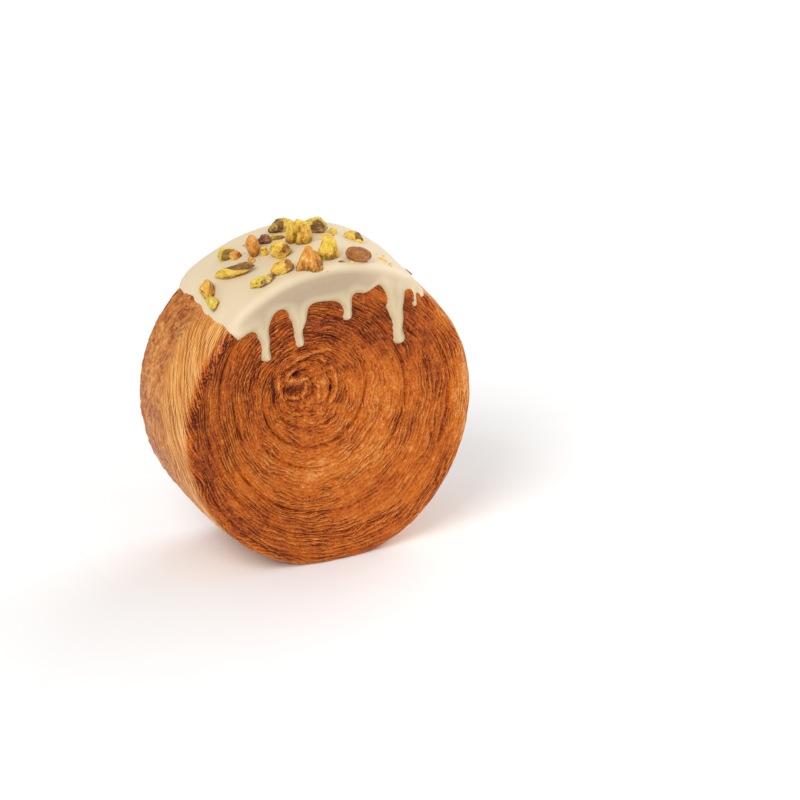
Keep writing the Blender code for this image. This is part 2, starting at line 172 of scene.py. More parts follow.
# Drips in mm from the middle of the face: x at the rim, x and z of the tip, width above and below
FRONT_DRIPS = (
    (-27.5, -24.9, 27.2, 5.4, 3.1),
    (-12.9, -12.4, 30.3, 7.0, 2.9),
    (4.7, 6.2, 37.2, 5.0, 3.1),
    (23.5, 25.9, 24.4, 6.6, 3.8),
    (31.5, 32.2, 37.5, 1.5, 1.0),
    (34.9, 35.2, 40.4, 2.0, 1.2),
)
BACK_DRIPS = (
    (-29.5, -29.9, 27.8, 5.6, 3.3),
    (-15.6, -15.1, 36.6, 5.0, 2.9),
    (2.5, 2.9, 26.4, 6.2, 3.5),
    (14.8, 14.9, 38.0, 4.6, 2.9),
    (28.2, 27.8, 31.5, 5.4, 3.1),
)

ICING_DEPTH = 31  # how far down the faces the sheet of icing is worked out, in mm from the rim
ICING_SWELL = 0.22  # height of the slow swells on top, in mm
ICING_UNDER = 0.5  # how much deeper than its edge the sheet's underside lies, in mm
ICING_MARGIN = 1.5  # how far outside its edge the sheet ends, out of sight, in mm
COLUMN_STEP = 1.1  # the sheet's mesh round the puck, in steps of the mesh on its faces
WALL_STEP = 2.2  # and across the wall
DRIP_START = 51  # the height where all drips start, above their band
DRIP_SWAY = 0.22  # how far a drip swings to its sides, in mm
DRIP_BEATS = 0.75  # how often it swings, in beats for each mm
DRIP_NARROWS = (0.35, 0.88)  # between which shares of its length it narrows
DRIP_ROUNDS = (0.86, 0.98)  # and between which its round tip swells
DRIP_BEAD = 0.14  # how much wider its round tip is than its neck

# How the icing's two ends wave: degrees, beats for each metre of depth, and shift
END_WAVES = ((0.55, 230, 0), (0.3, 690, 1), (0.06, 1500, 0))
END_SLOPE = 0.7  # how much slower the icing rises from its ends than from its other edges

# The raised bead along the icing's edge on a face and the hollow behind it: mm inside the edge,
# width and height in mm
EDGE_BEAD = (1.9, 1.3, 0.15)
EDGE_SAG = (6.0, 2.6, -0.35)

# How a kernel is chopped: each slice's heading and slope in degrees, and its place in the kernel
CHOPS = {
    "kernel": (),
    "half": ((90, 10, 0.2), (200, 30, 0.75)),
    "boat": ((150, 5, 0.5), (212, 8, 0.42), (90, 58, 0.42), (25, 15, 0.8)),
    "shard": ((150, 15, 0.6), (205, 38, 0.45), (285, 22, 0.5), (20, 30, 0.7)),
    "chunk": ((10, 10, 0.7), (135, 20, 0.6), (250, 5, 0.65), (60, 70, 0.7)),
    "twin": ((10, 18, 0.8), (186, 16, 0.78), (280, 22, 0.74), (40, 78, 0.74), (0, -90, 0.6)),
    "crag": ((262, 24, 0.5), (10, 36, 0.6), (150, 42, 0.6), (330, 5, 0.7)),
    "block": ((235, 6, 0.6), (305, 8, 0.6), (20, 18, 0.62), (130, 12, 0.66), (0, 86, 0.72)),
    "tooth": ((5, 16, 0.66), (182, 22, 0.6), (268, 20, 0.6), (92, 22, 0.7), (60, 66, 0.8), (0, -90, 0.5)),
    "pyramid": (
        *((0, 30, 0.56), (95, 26, 0.6), (185, 32, 0.54)),
        *((250, 27, 0.54), (305, 31, 0.58), (0, -90, 0.3)),
    ),
    "wedge": ((80, 42, 0.4), (180, 10, 0.75), (275, 15, 0.6)),
}

# Swells and hollows of a kernel: heading, slope and width in degrees, and how far out
SWELLS = {
    "half": ((265, 30, 34, -0.3),),
    "boat": ((265, 0, 30, 0.16),),
    "chunk": ((240, 25, 24, -0.2), (320, 30, 26, 0.12)),
    "crag": ((285, 15, 20, -0.16), (180, 30, 24, 0.12)),
    "tooth": ((290, 10, 20, -0.14),),
    "pyramid": ((320, 20, 20, -0.14),),
}

TAPERS = {"boat": 0.62, "wedge": 0.3, "half": 0.2}  # how much narrower a kernel's ends are
CLEFTS = {"twin": (-0.34, 0.12, 0.3)}  # a cleft across a kernel: its place, width and depth
UPRIGHT = ("twin", "tooth", "pyramid")  # kernels that stand on end

# Where the skin shows on a nut: the direction that it faces, and how far round it reaches
SIDES = {
    "none": ((0, 0, 1), 2.0),
    "left": ((-0.8, -0.3, 0.3), 0.25),
    "right": ((0.8, -0.5, 0.2), 0.35),
    "low": ((0.6, -0.7, -0.4), 0.2),
    "top": ((0.2, 0.1, 0.95), 0.15),
    "front": ((-0.1, -0.95, 0.1), 0.3),
    "all": ((0, 0, 1), -2.0),
}

# Chopped nuts: degrees from the top, mm behind the middle, mm long, wide and high, heading, chop,
# then the flesh from green (0) to roasted (1), the skin from purple (0) to tan (1), and its side
Nut = namedtuple("Nut", "from_top back long wide high heading chop ripe skin_tone side")
LARGE_NUTS = (
    (-2.2, 14.4, 10.9, 6.4, 5.0, -8, "shard", 0.22, 0.10, "left"),
    (-1.0, 2.2, 9.4, 8.0, 8.8, -24, "twin", 0.45, 0.70, "none"),
    (8.2, 9.5, 9.4, 6.4, 6.0, -24, "crag", 0.15, 0.15, "front"),
    (2.6, -13.8, 7.7, 7.4, 8.5, -24, "tooth", 0.38, 0.70, "none"),
    (12.4, -18.0, 9.4, 6.0, 5.2, -20, "kernel", 0.90, 0.80, "all"),
    (-6.2, -18.0, 9.5, 8.0, 8.6, -24, "pyramid", 0.86, 0.90, "none"),
    (-10.7, -4.2, 8.0, 6.6, 5.4, -24, "block", 0.40, 0.80, "right"),
    (-17.5, 3.4, 7.4, 4.6, 8.0, 65, "kernel", 0.80, 1.00, "none"),
    (-27.6, -2.1, 16.8, 5.6, 5.4, -38, "boat", 0.32, 0.20, "top"),
    (-23.5, -15.8, 9.4, 4.8, 4.2, -6, "wedge", 0.20, 0.05, "low"),
    (-15.1, -14.8, 8.2, 6.2, 5.4, -10, "chunk", 0.44, 0.70, "right"),
)
SMALL_NUTS = (
    (13.8, 7.2, 2.8, 3.2, 3.2, 0, "chunk", 0.35, 0.6, "none"),
    (9.8, 2.6, 4.2, 2.6, 2.4, -10, "half", 0.35, 0.6, "none"),
    (21.0, 3.6, 7.0, 4.8, 4.2, -24, "wedge", 0.30, 0.1, "right"),
    (22.1, 0.8, 2.8, 2.4, 2.2, -24, "chunk", 0.30, 0.6, "none"),
    (-15.1, 0.4, 2.8, 2.6, 4.2, -24, "chunk", 0.35, 0.6, "none"),
    (-11.3, 8.9, 5.0, 4.2, 4.2, -24, "chunk", 0.10, 0.0, "all"),
    (-7.0, 8.4, 6.0, 2.4, 2.6, -24, "half", 0.05, 0.5, "front"),
    (-23.2, 7.6, 4.7, 4.0, 3.6, -24, "block", 0.70, 0.8, "right"),
    (-25.2, 11.0, 6.7, 4.8, 5.0, -24, "half", 0.10, 0.45, "front"),
    (-39.4, -1.2, 6.4, 5.2, 6.2, 60, "chunk", 0.55, 0.8, "right"),
    (-40.7, -8.0, 6.0, 4.0, 4.4, 70, "half", 0.10, 0.5, "none"),
    (23.5, -14.7, 4.8, 2.6, 2.0, -24, "half", 0.30, 0.6, "none"),
    (24.3, -18.0, 4.0, 1.8, 1.5, -24, "chunk", 0.35, 0.6, "none"),
    (5.8, -18.9, 3.0, 1.3, 1.4, -10, "wedge", 0.50, 0.1, "all"),
    (-20.6, -0.6, 2.4, 2.2, 3.6, -24, "kernel", 0.70, 0.6, "none"),
    (37.0, -12.0, 4.6, 0.6, 0.9, -34, "wedge", 0.50, 0.1, "all"),
)
GRAIN_STRETCH = 0.35  # under 1, a kernel's grooves run along it
CHOP_SEED = 7  # of the slices' turns
CHOP_TURN = 12  # how far a slice may be turned from the plan, in degrees
SHAVE_SEED = 3  # of the small extra slices
SHAVES = 4  # how many of them a kernel gets
SHAVE_SLOPES = (-20, 80)  # in degrees
SHAVE_PLACES = (0.66, 0.9)
SMALL_SUNK = 1.6  # how much deeper a small nut sits than a large one

# What each crumb draws: its number's name, the least, the most, and a seed
CRUMB_LOOKS = (("ripe", 0.1, 0.7, 5), ("skin", -0.6, 0.7, 6), ("skin_tone", 0.3, 1.0, 7))

# Where the lights stand and how wide they are, in metres
LIGHTS = {
    "key": ((-1.4, -1.0, 1.75), 1.3),
    "fill": ((0.5, -1.1, 0.35), 0.7),
    "rim": ((1.2, 0.5, 0.8), 1.3),
}


def tint(code):
    """A screen colour, written as six hex digits, in linear numbers."""
    shares = [int(code[start : start + 2], 16) / 255 for start in (0, 2, 4)]
    linear = [s / 12.92 if s <= 0.04045 else ((s + 0.055) / 1.055) ** 2.4 for s in shares]
    return (*linear, 1.0)


def length(name, description, default):
    """A setting in metres."""
    return bpy.props.FloatProperty(
        name=name, description=description, default=default, unit="LENGTH", precision=5
    )


def number(name, description, default):
    """A setting without a unit."""
    return bpy.props.FloatProperty(name=name, description=description, default=default, precision=3)


def count(name, description, default):
    """A setting in whole numbers, at least 1."""
    return bpy.props.IntProperty(name=name, description=description, default=default, min=1)


def angle(name, description, degrees):
    """A setting given in degrees and kept in radians."""
    return bpy.props.FloatProperty(
        name=name, description=description, default=math.radians(degrees), unit="ROTATION"
    )


def colour(name, description, code):
    """A colour setting, given as six hex digits."""
    return bpy.props.FloatVectorProperty(
        name=name, description=description, default=tint(code), subtype="COLOR", size=4, min=0, max=1
    )


class DoughSettings(bpy.types.PropertyGroup):
    """Sizes and colours of the rolled dough."""

    radius: length("Radius", "Half the width of the puck", 55.45 * MM)
    stretch: number("Height Stretch", "How much taller than wide the puck is", 1.023)
    thickness: length("Thickness", "From face to face", 46 * MM)
    rim_round: length("Rim Round", "Radius of the rounded rims", 3.5 * MM)
    wall_bulge: length("Wall Bulge", "How far the wall bows out", 0.7 * MM)
    middle_z: length("Middle Height", "The middle of the faces above the floor", 56.4 * MM)
    swirl_x: length("Swirl X", "Middle of the swirl, from the middle of the face", -13 * MM)
    swirl_z: length("Swirl Z", "Middle of the swirl, from the middle of the face", 17 * MM)
    turns: number("Turns", "Turns of the rolled strip", 9.3)
    growth: number("Turn Growth", "Over 1, the outer turns are thicker", 1.3)
    shift: number("Turn Shift", "How far along the strip the grooves lie", 0.37)
    pillow: length("Pillow", "How far each turn swells between its grooves", 0.35 * MM)
    groove: length("Groove Depth", "Depth of the gaps between turns", 0.7 * MM)
    dome: length("Dome", "How far the heart of the swirl has risen", 1.2 * MM)
    layers: number("Layers", "Leaves of dough from the heart to the rim", 46)
    layer_depth: length("Layer Depth", "Height of a leaf's torn edge", 0.3 * MM)
    curls: length("Curls", "Height of the crusty curls round the heart", 0.75 * MM)
    crumbs: length("Crumbs", "Height of the crumbly beads along the rim", 1.4 * MM)
    columns: count("Columns", "Mesh columns round the puck", 270)
    front_rows: count("Front Rows", "Mesh rows on the shown face", 182)
    wall_rows: count("Wall Rows", "Mesh rows on the wall", 82)
    back_rows: count("Back Rows", "Mesh rows on the other face", 88)
    # Painted shade: the colour of the deepest gaps, hollows and grooves.
    deepest_gap_shade: colour("Burnt", "The deepest gaps", "521C08")
    # Partly painted shade in the gaps between leaves.
    gap: colour("Gap", "Between the leaves", "8A3A10")
    crust: colour("Crust", "The faces' own colour", "B95A12")
    # Partly a painted highlight on the lips of the leaves.
    leaf: colour("Leaf", "Edges of the leaves", "CE701F")
    glint: colour("Glint", "The palest edges and blisters", "E09C58")
    gold: colour("Gold", "Stripes on the wall's front", "E29D4C")
    pale_gold: colour("Pale Gold", "The palest stripes", "F0C07C")
    stripe: colour("Stripe", "Between the wall's stripes", "C97A30")
    stripe_gap: colour("Stripe Gap", "The gaps on the wall", "96501C")
    blister: colour("Blister", "The wall's blistered back", "B4692F")


class IcingSettings(bpy.types.PropertyGroup):
    """Sizes and colours of the icing."""

    thick: length("Thickness", "Height of the icing over the crust on the wall", 2.2 * MM)
    face_thick: length("Face Thickness", "Height of the icing over the faces", 1.85 * MM)
    edge: length("Edge", "Width of the rounded edge", 2.1 * MM)
    sunk: length("Sunk", "How deep its underside lies in the crust", 2.6 * MM)
    thin_ends: number("Thin Ends", "How much thinner it gets towards both ends", 0.72)
    # The band along the rim is painted shade where the icing turns from the top to the face, partly the
    # crust showing through the thin icing there.
    band: length("Band", "Width of the thin, darker band along the rim", 16 * MM)
    band_start: length("Band Start", "How far the band starts past the flat of the face", 7.2 * MM)
    band_x: length("Band X", "Where the band is darkest", -8 * MM)
    fading: length("Band Fading", "How far to both sides the band fades", 34 * MM)
    fillet: length("Fillet", "How softly drips leave the band", 4.2 * MM)
    left: number("Left End", "Degrees from the top", -44.5)
    right: number("Right End", "Degrees from the top", 41)
    spare: number("Spare", "Degrees past both ends for drips that hang there", 10)
    step: length("Mesh Step", "Distance of the mesh's points on the faces", 0.36 * MM)
    cream: colour("Cream", "The icing on top", "DFCCAA")
    # The icing on the faces: partly a yellower cream, partly painted shade, as the faces get less light
    # than the top.
    drip: colour("Drip", "The icing on the faces", "D1BE99")
    # Painted shade, for the band where the icing turns over the rim, partly thin icing there.
    shade: colour("Shade", "The thin icing over the rim", "B49E82")


class NutSettings(bpy.types.PropertyGroup):
    """Sizes and colours of the chopped pistachios."""

    detail: count("Detail", "Subdivisions of a large nut", 6)
    small_detail: count("Small Detail", "Subdivisions of a small nut", 5)
    edge: number("Edge", "Higher for sharper chopped edges", 16)
    crumble: length("Crumble", "Depth of the rough cut faces", 0.5 * MM)
    lump: length("Lump", "Height of the kernels' lumps", 0.9 * MM)
    sunk: length("Sunk", "How deep a nut sits in the icing", 0.85 * MM)
    lime: colour("Lime", "The greenest flesh", "C6B23E")
    yellow: colour("Yellow", "Common flesh", "ECC64A")
    roasted: colour("Roasted", "Toasted flesh", "DC923A")
    purple: colour("Purple Skin", "The darkest skin", "6E3E36")
    olive: colour("Olive Skin", "Greenish skin", "7A5E20")
    tan: colour("Tan Skin", "Toasted skin", "A86428")
    worn: colour("Worn Skin", "Where the skin has rubbed off", "C08E5C")
    # Painted shade, for the cracks and the lower part of a kernel.
    crevice_shade: colour("Crevice", "Cracks in a kernel", "704610")
    # Partly pale crumbs of flesh, partly a painted highlight on the ridges.
    pale_crumb_and_highlight: colour("Crumb", "The palest edges of the flesh", "F8E48C")


class FlakeSettings(bpy.types.PropertyGroup):
    """Sizes of the torn flakes on the crust."""

    density: number("Density", "Flakes for each square metre", 110000)
    length: length("Length", "Middle length of a flake", 0.95 * MM)
    width: length("Width", "Middle width of a flake", 0.3 * MM)
    thickness: length("Thickness", "Of a flake", 0.07 * MM)
    tilt: angle("Tilt", "Most lean of a flake to either side", 40)


class CrumbSettings(bpy.types.PropertyGroup):
    """Sizes of the fine crumbs of nut."""

    density: number("Density", "Crumbs for each square metre", 30000)
    size: length("Size", "Of the largest crumbs", 1.1 * MM)
    reach: length("Reach", "How far from the nuts they lie", 3.6 * MM)
    crumble: length("Crumble", "Their roughness", 0.15 * MM)


class StageSettings(bpy.types.PropertyGroup):
    """The camera, the floor and the lights."""

    azimuth: angle("Azimuth", "The camera's turn round the puck", -24)
    elevation: angle("Elevation", "The camera's height as an angle", 25)
    distance: length("Distance", "From the camera to the middle of the puck", 1.69)
    lens: number("Lens", "Focal length in mm", 213.5)
    aim_right: length("Aim Right", "The view's middle, right of the puck's", 33.6 * MM)
    aim_up: length("Aim Up", "The view's middle, above the puck's", -2.5 * MM)
    floor: colour("Floor", "The floor", "F6F6F6")
    floor_light: colour("Floor Light", "The floor's palest places", "FAF9F8")
    floor_size: length("Floor Size", "Half its width", 4)
    sky: number("Sky", "Strength of the even light", 0.56)
    key: number("Key", "Power of the large light in watts", 34)
    fill: number("Fill", "Power of the light in front in watts", 2)
    rim: number("Rim", "Power of the light from behind in watts", 11.5)


def forward(operation):
    """What an operator does for a wire on its left."""
    return lambda self, other: self.maths(operation, self, other)


def reflected(operation):
    """What an operator does for a wire on its right."""
    return lambda self, other: self.maths(operation, other, self)


class Wire:
    """An output of a node, or the start of a tree. Sums of wires and numbers add Math nodes."""

    __add__, __radd__ = forward("ADD"), reflected("ADD")
    __sub__, __rsub__ = forward("SUBTRACT"), reflected("SUBTRACT")
    __mul__, __rmul__ = forward("MULTIPLY"), reflected("MULTIPLY")
    __truediv__, __rtruediv__ = forward("DIVIDE"), reflected("DIVIDE")
    __pow__, __rpow__ = forward("POWER"), reflected("POWER")

    def __init__(self, tree, socket=None):
        self.tree = tree
        self.socket = socket

    def feed(self, socket, value):
        """Links a wire to a socket, or sets the socket's value."""
        if isinstance(value, Wire):
            self.tree.links.new(value.socket, socket)
        else:
            socket.default_value = value

    def node(self, kind, settings=None, inputs=None, output=0):
        """Adds a node: its settings come first, then the values or wires of its sockets."""
        made = self.tree.nodes.new(kind)
        for key, value in (settings or {}).items():
            if key == "stops":
                paint_ramp(made.color_ramp, value)
            else:
                setattr(made, key, value)
        for key, value in (inputs or {}).items():
            self.feed(made.inputs[key], value)
        return Wire(self.tree, None if output is None else made.outputs[output])

    def maths(self, operation, *values):
        """Adds a Math node of these values and wires."""
        return self.node("ShaderNodeMath", {"operation": operation}, dict(enumerate(values)))


def paint_ramp(ramp, stops):
    """Sets a colour ramp's stops: place and colour of each."""
    while len(ramp.elements) < len(stops):
        ramp.elements.new(1.0)
    for element, (place, paint) in zip(ramp.elements, stops):
        element.position = place
        element.color = paint


def attribute(at, name, kind="FLOAT"):
    """What is stored on the mesh under a name: a number, and in a shape tree also a vector."""
    if at.tree.bl_idname == "GeometryNodeTree":
        return at.node("GeometryNodeInputNamedAttribute", {"data_type": kind}, {"Name": name})
    return at.node("ShaderNodeAttribute", {"attribute_name": name}, output="Fac")


def place_of(at):
    """Where a point of the piece lies."""
    if at.tree.bl_idname == "GeometryNodeTree":
        return at.node("GeometryNodeInputPosition")
    return at.node("ShaderNodeTexCoord", output="Object")


def join(at, x, y, z):
    """A vector of three numbers."""
    return at.node("ShaderNodeCombineXYZ", {}, {0: x, 1: y, 2: z})


def part(vector, axis):
    """One of a vector's three numbers."""
    return vector.node("ShaderNodeSeparateXYZ", {}, {0: vector}, output=axis)


def vectors(operation, first, second):
    """A sum of vectors, or with SCALE a vector times a number."""
    key = "Scale" if operation == "SCALE" else 1
    return first.node("ShaderNodeVectorMath", {"operation": operation}, {0: first, key: second})


def noise(vector, scale=1.0, detail=2.0, roughness=0.5):
    """Soft noise from 0 to 1."""
    sockets = {"Vector": vector, "Scale": scale, "Detail": detail, "Roughness": roughness}
    return vector.node("ShaderNodeTexNoise", {"noise_dimensions": "3D"}, sockets)


def swing(vector, scale=1.0, detail=2.0, roughness=0.5):
    """Soft noise to both sides of 0."""
    return noise(vector, scale, detail, roughness) - 0.5


def rise(value, low, high):
    """0 below low and 1 above high, smooth between them."""
    settings = {"interpolation_type": "SMOOTHSTEP"}
    return value.node("ShaderNodeMapRange", settings, {"Value": value, "From Min": low, "From Max": high})


def blend(first, second, share):
    """A colour between two, by a share."""
    settings = {"data_type": "RGBA", "blend_type": "MIX"}
    return share.node("ShaderNodeMix", settings, {0: share, 6: first, 7: second}, output=2)


def spread(value, *stops):
    """A colour from a ramp of stops."""
    return value.node("ShaderNodeValToRGB", {"stops": stops}, {0: value})


def swirl_phase(at, turns, growth, shift):
    """Where a point lies between its turn's two grooves, from 0 to 1."""
    lane = attribute(at, "lane")
    turn = turns * lane.maths("ABSOLUTE", lane) ** (1 / growth)
    heading = at.maths("ARCTAN2", attribute(at, "round_z"), attribute(at, "round_x"))
    return at.maths("FRACT", turn - heading / math.tau + shift)


def run_along(at, reach, seed=0.0):
    """Two numbers that follow the turns round the face and over the rim, for long slow noises."""
    depth = part(place_of(at), 1)
    around = attribute(at, "round_x") * reach + depth * RUN_ACROSS[0] + seed
    upward = attribute(at, "round_z") * reach - depth * RUN_ACROSS[1]
    return around, upward


def leaf_count(at, layers, reach, seed, sway=4.5, ripple=2.2):
    """Counts the leaves of dough from the heart outward, swaying and crowding as they go round."""
    lane = attribute(at, "lane")
    around, upward = run_along(at, reach, seed)
    slow = swing(join(at, lane * 5, around, upward), 1.0, 1.0)
    quick = swing(join(at, lane * 18, around * 2.2, upward * 2.2))
    return lane * layers + slow * sway + quick * ripple


def torn_edge(leaf, low=0.12, high=0.88):
    """The height across a leaf: it climbs from a dark gap to a pale lip, and drops into the next gap."""
    across = leaf.maths("FRACT", leaf)
    return rise(across, low, high) * (1 - rise(across, high, 1.0))


def own_tone(at, leaf, reach, seed):
    """Noise that differs from leaf to leaf and changes slowly along each."""
    return swing(join(at, leaf.maths("FLOOR", leaf) * 3.7, *run_along(at, reach, seed)))


def fibres(place, scale, bend):
    """Thin wavy lines in all directions, as on blistered crust."""
    push = place.node("ShaderNodeTexNoise", {}, {"Vector": place, "Scale": scale * 0.5}, output="Color")
    push = vectors("SCALE", vectors("SUBTRACT", push, (0.5, 0.5, 0.5)), bend)
    return 1 - place.maths("ABSOLUTE", swing(vectors("ADD", place, push), scale, 1.0)) * 9


def new_material(name, constants):
    """A material, its Principled shader with the constants set, and the start of its tree."""
    material = bpy.data.materials.new(name)
    material.use_nodes = True
    shader = material.node_tree.nodes["Principled BSDF"]
    for key, value in constants.items():
        shader.inputs[key].default_value = value
    return material, shader, Wire(material.node_tree)


def bump(height, distance, strength):
    """The direction of a surface with this fine relief."""
    inputs = {"Strength": strength, "Distance": distance, "Height": height}
    return height.node("ShaderNodeBump", {}, inputs)


def crust_material(dough):
    """Baked laminated dough: fine leaves on the faces, golden stripes and brown blisters on the wall."""
    constants = {"Specular IOR Level": 0.12, "Coat Roughness": 0.3}
    material, shader, at = new_material("baked_crust", constants)
    place = place_of(at)
    depth = part(place, 1)
    face = attribute(at, "face")
    lane = attribute(at, "lane")
    leaf = leaf_count(at, dough.layers, LEAF_RUN, 0.0)
    fine = leaf_count(at, dough.layers * 2.3, 3.2, 3.0, 9.0, 2.6)
    lip = torn_edge(leaf)
    fine_lip = torn_edge(fine)
    own = own_tone(at, leaf, *OWN_RUN)
    fine_own = own_tone(at, fine, 11.0, 4.0)
    crisp = 0.2 + 1.15 * rise(own_tone(at, leaf * 0.3, 3.0, 21.0), -0.15, 0.15)
    crisp = crisp * (0.4 + 0.6 * rise(lane, 0.05, 0.36))
    band = swing(join(at, lane * 15, *run_along(at, 1.6, 31.0)))
    grain = swing(place, SPECKS, 2.0, 0.6)
    crackle = swing(place, CRACKLE, 4.0, 0.62)
    cloud = swing(place, CLOUDS, 3.0, 0.6)

    # The faces, from the dark gaps between leaves to their pale lips: partly the dough's own tone, partly
    # painted shade in the gaps and a painted highlight on the lips
    leafy = ((lip - 0.5) * 0.28 + (fine_lip - 0.5) * 0.32) * crisp + own * 0.50 + fine_own * 0.50
    shade = 0.55 + leafy + grain * 0.85 + crackle * 0.66 + cloud * 0.34 + band * 0.5
    # Painted shade: darker in the grooves between turns. The curls are painted paler on top and darker
    # between them, a painted highlight and shade.
    shade = shade + attribute(at, "tone") - attribute(at, "gap") * 0.32 + attribute(at, "curl") * 0.8
    shade = shade - attribute(at, "beads") * (0.30 - swing(place, BEAD_SPECKS, 1.0) * 1.7)
    faces = spread(
        shade,
        (0.05, dough.deepest_gap_shade),
        (0.27, dough.gap),
        (0.50, dough.crust),
        (0.76, dough.leaf),
        (1.02, dough.glint),
    )

    # The wall: golden stripes in front, and brown blisters behind
    golden = spread(
        0.5 + leafy * 1.25 + band * 0.9 + cloud * 0.3 + grain * 0.3,
        (0.05, dough.stripe_gap),
        (0.32, dough.stripe),
        (0.56, dough.gold),
        (0.78, dough.pale_gold),
        (1.0, dough.glint),
    )
    threads = rise(fibres(place, 210, 0.006), 0.45, 1.0)
    blister = 0.40 + crackle * 1.9 + cloud * 1.1 + threads * 0.3 + own * 0.5 + grain * 0.4
    blister = blister - rise(depth, 0.0185, 0.021) * (0.15 - crackle * 1.6)
    brown = spread(
        blister, (0.08, dough.gap), (0.36, dough.blister), (0.62, dough.stripe), (0.95, dough.glint)
    )
    behind = rise(depth + cloud * 0.04 + own * 0.016, *WALL_TURNS_BROWN)
    at.feed(shader.inputs["Base Color"], blend(blend(golden, brown, behind), faces, face))

    at.feed(shader.inputs["Roughness"], 0.44 - own * 0.3 + grain * 0.3)
    at.feed(shader.inputs["Coat Weight"], rise(lip + fine_lip * 0.6 + grain, 0.95, 1.35) * 0.5)
    relief = (lip * 0.18 + fine_lip * 0.17) * crisp + (own + fine_own) * 0.34 + grain * 0.28
    wild = 0.3 + crackle * 0.6 + threads * 0.2
    relief = relief + wild * (0.35 + 0.65 * behind * (1 - face))
    at.feed(shader.inputs["Normal"], bump(relief, 0.8 * MM, 0.85))
    return material


def flake_material(dough):
    """Thin flakes of crust, from dark to the palest glints."""
    constants = {"Specular IOR Level": 0.3, "Roughness": 0.4, "Coat Weight": 0.1}
    material, shader, at = new_material("torn_crust", constants)
    pale = attribute(at, "pale") + swing(place_of(at), SPECKS) * 0.4
    face = spread(pale, (0.0, dough.gap), (0.3, dough.crust), (0.65, dough.leaf), (0.95, dough.glint))
    wall = spread(pale, (0.0, dough.blister), (0.4, dough.gold), (0.9, dough.pale_gold))
    at.feed(shader.inputs["Base Color"], blend(wall, face, attribute(at, "face")))
    return material


def icing_material(icing):
    """Soft satin icing, with painted shade in a greyer band where it turns over the rim, partly from the
    icing running thin there, and painted shade on the faces.
    """
    constants = {"Coat Weight": 0.06, "Coat Roughness": 0.3, "Specular IOR Level": 0.35}
    material, shader, at = new_material("cream_icing", constants)
    place = place_of(at)
    cloud = swing(place, 70)
    # Painted shade: the icing on the faces, below the rim, is darker and yellower than on top.
    paint = blend(icing.cream, icing.drip, attribute(at, "low"))
    # Painted shade: the greyer band where the icing turns over the rim, partly thin icing there.
    paint = blend(paint, icing.shade, attribute(at, "thin") * (1 + cloud * 0.6))
    at.feed(shader.inputs["Base Color"], paint)
    at.feed(shader.inputs["Roughness"], 0.5 + cloud * 0.2)
    at.feed(shader.inputs["Normal"], bump(noise(place, 260), 0.25 * MM, 0.35))
    return material


def nut_material(nuts):
    """Pistachio flesh from green to roasted, under a purple, olive or tan skin, with painted shade in its
    cracks and towards its base, and painted highlights on its ridges.
    """
    constants = {"Coat Weight": 0.05, "Coat Roughness": 0.3, "Specular IOR Level": 0.25}
    material, shader, at = new_material("chopped_pistachio", constants)
    place = place_of(at)
    grain = swing(place, 1300, 3.0, 0.65)
    cloud = swing(place, 330)
    relief = attribute(at, "relief")
    low = attribute(at, "low")
    ripe = attribute(at, "ripe") + cloud * 0.75 + grain * 0.4 + (1 - attribute(at, "cut")) * 0.12
    flesh = spread(ripe, (0.0, nuts.lime), (0.35, nuts.yellow), (0.8, nuts.roasted))
    # Painted shade: darker in the cracks and towards the base of the nut.
    crevice_shade_share = rise(relief + grain * 1.6 - low * 0.8, 0.0, -1.0)
    # Painted highlight: the ridges are paler, less so towards the base.
    edge = rise(relief + grain * 1.4 - low * 0.5, 0.1, 0.7)
    flesh = blend(blend(flesh, nuts.crevice_shade, crevice_shade_share * 0.85), nuts.pale_crumb_and_highlight, edge * 0.8)
    skin_tone = attribute(at, "skin_tone") + cloud * 0.5
    skin = spread(skin_tone, (0.0, nuts.purple), (0.4, nuts.olive), (0.85, nuts.tan))
    skin = blend(skin, nuts.worn, rise(grain + relief * 0.25, -0.04, 0.24) * 0.7)
    # Painted shade: the skin is a darker purple in its hollows.
    skin = blend(skin, nuts.purple, rise(relief, 0.0, -0.6) * 0.6)
    cover = rise(attribute(at, "skin") + cloud * 1.2 + grain * 1.6 - relief * 0.3, 0.3, 0.85)
    at.feed(shader.inputs["Base Color"], blend(flesh, skin, cover))
    at.feed(shader.inputs["Roughness"], 0.44 + grain * 0.4)
    at.feed(shader.inputs["Normal"], bump(grain * 0.6 + cloud * 0.4, 0.7 * MM, 0.9))
    return material


def linked(name, data):
    """A new object in the scene, for a mesh, a light or a camera."""
    obj = bpy.data.objects.new(name, data)
    bpy.context.scene.collection.objects.link(obj)
    return obj


def new_object(name, points, faces, numbers, material):
    """A smooth mesh object from arrays of points and faces, with numbers stored on its points."""
    data = bpy.data.meshes.new(name)
    data.from_pydata(points.tolist(), [], faces)
    for key, values in numbers.items():
        store(data, key, values)
    data.shade_smooth()
    data.materials.append(material)
    return linked(name, data)


def copy_of(base, name, material):
    """A copy of a piece's mesh under a new name and with another material, to scatter things on."""
    obj = linked(name, base.data.copy())
    obj.data.materials.clear()
    obj.data.materials.append(material)
    return obj


def store(data, name, values):
    """Keeps one number, or one vector, for each point of a mesh."""
    values = np.asarray(values, np.float32)
    kind, key = ("FLOAT", "value") if values.ndim == 1 else ("FLOAT_VECTOR", "vector")
    data.attributes.new(name, kind, "POINT").data.foreach_set(key, values.ravel())


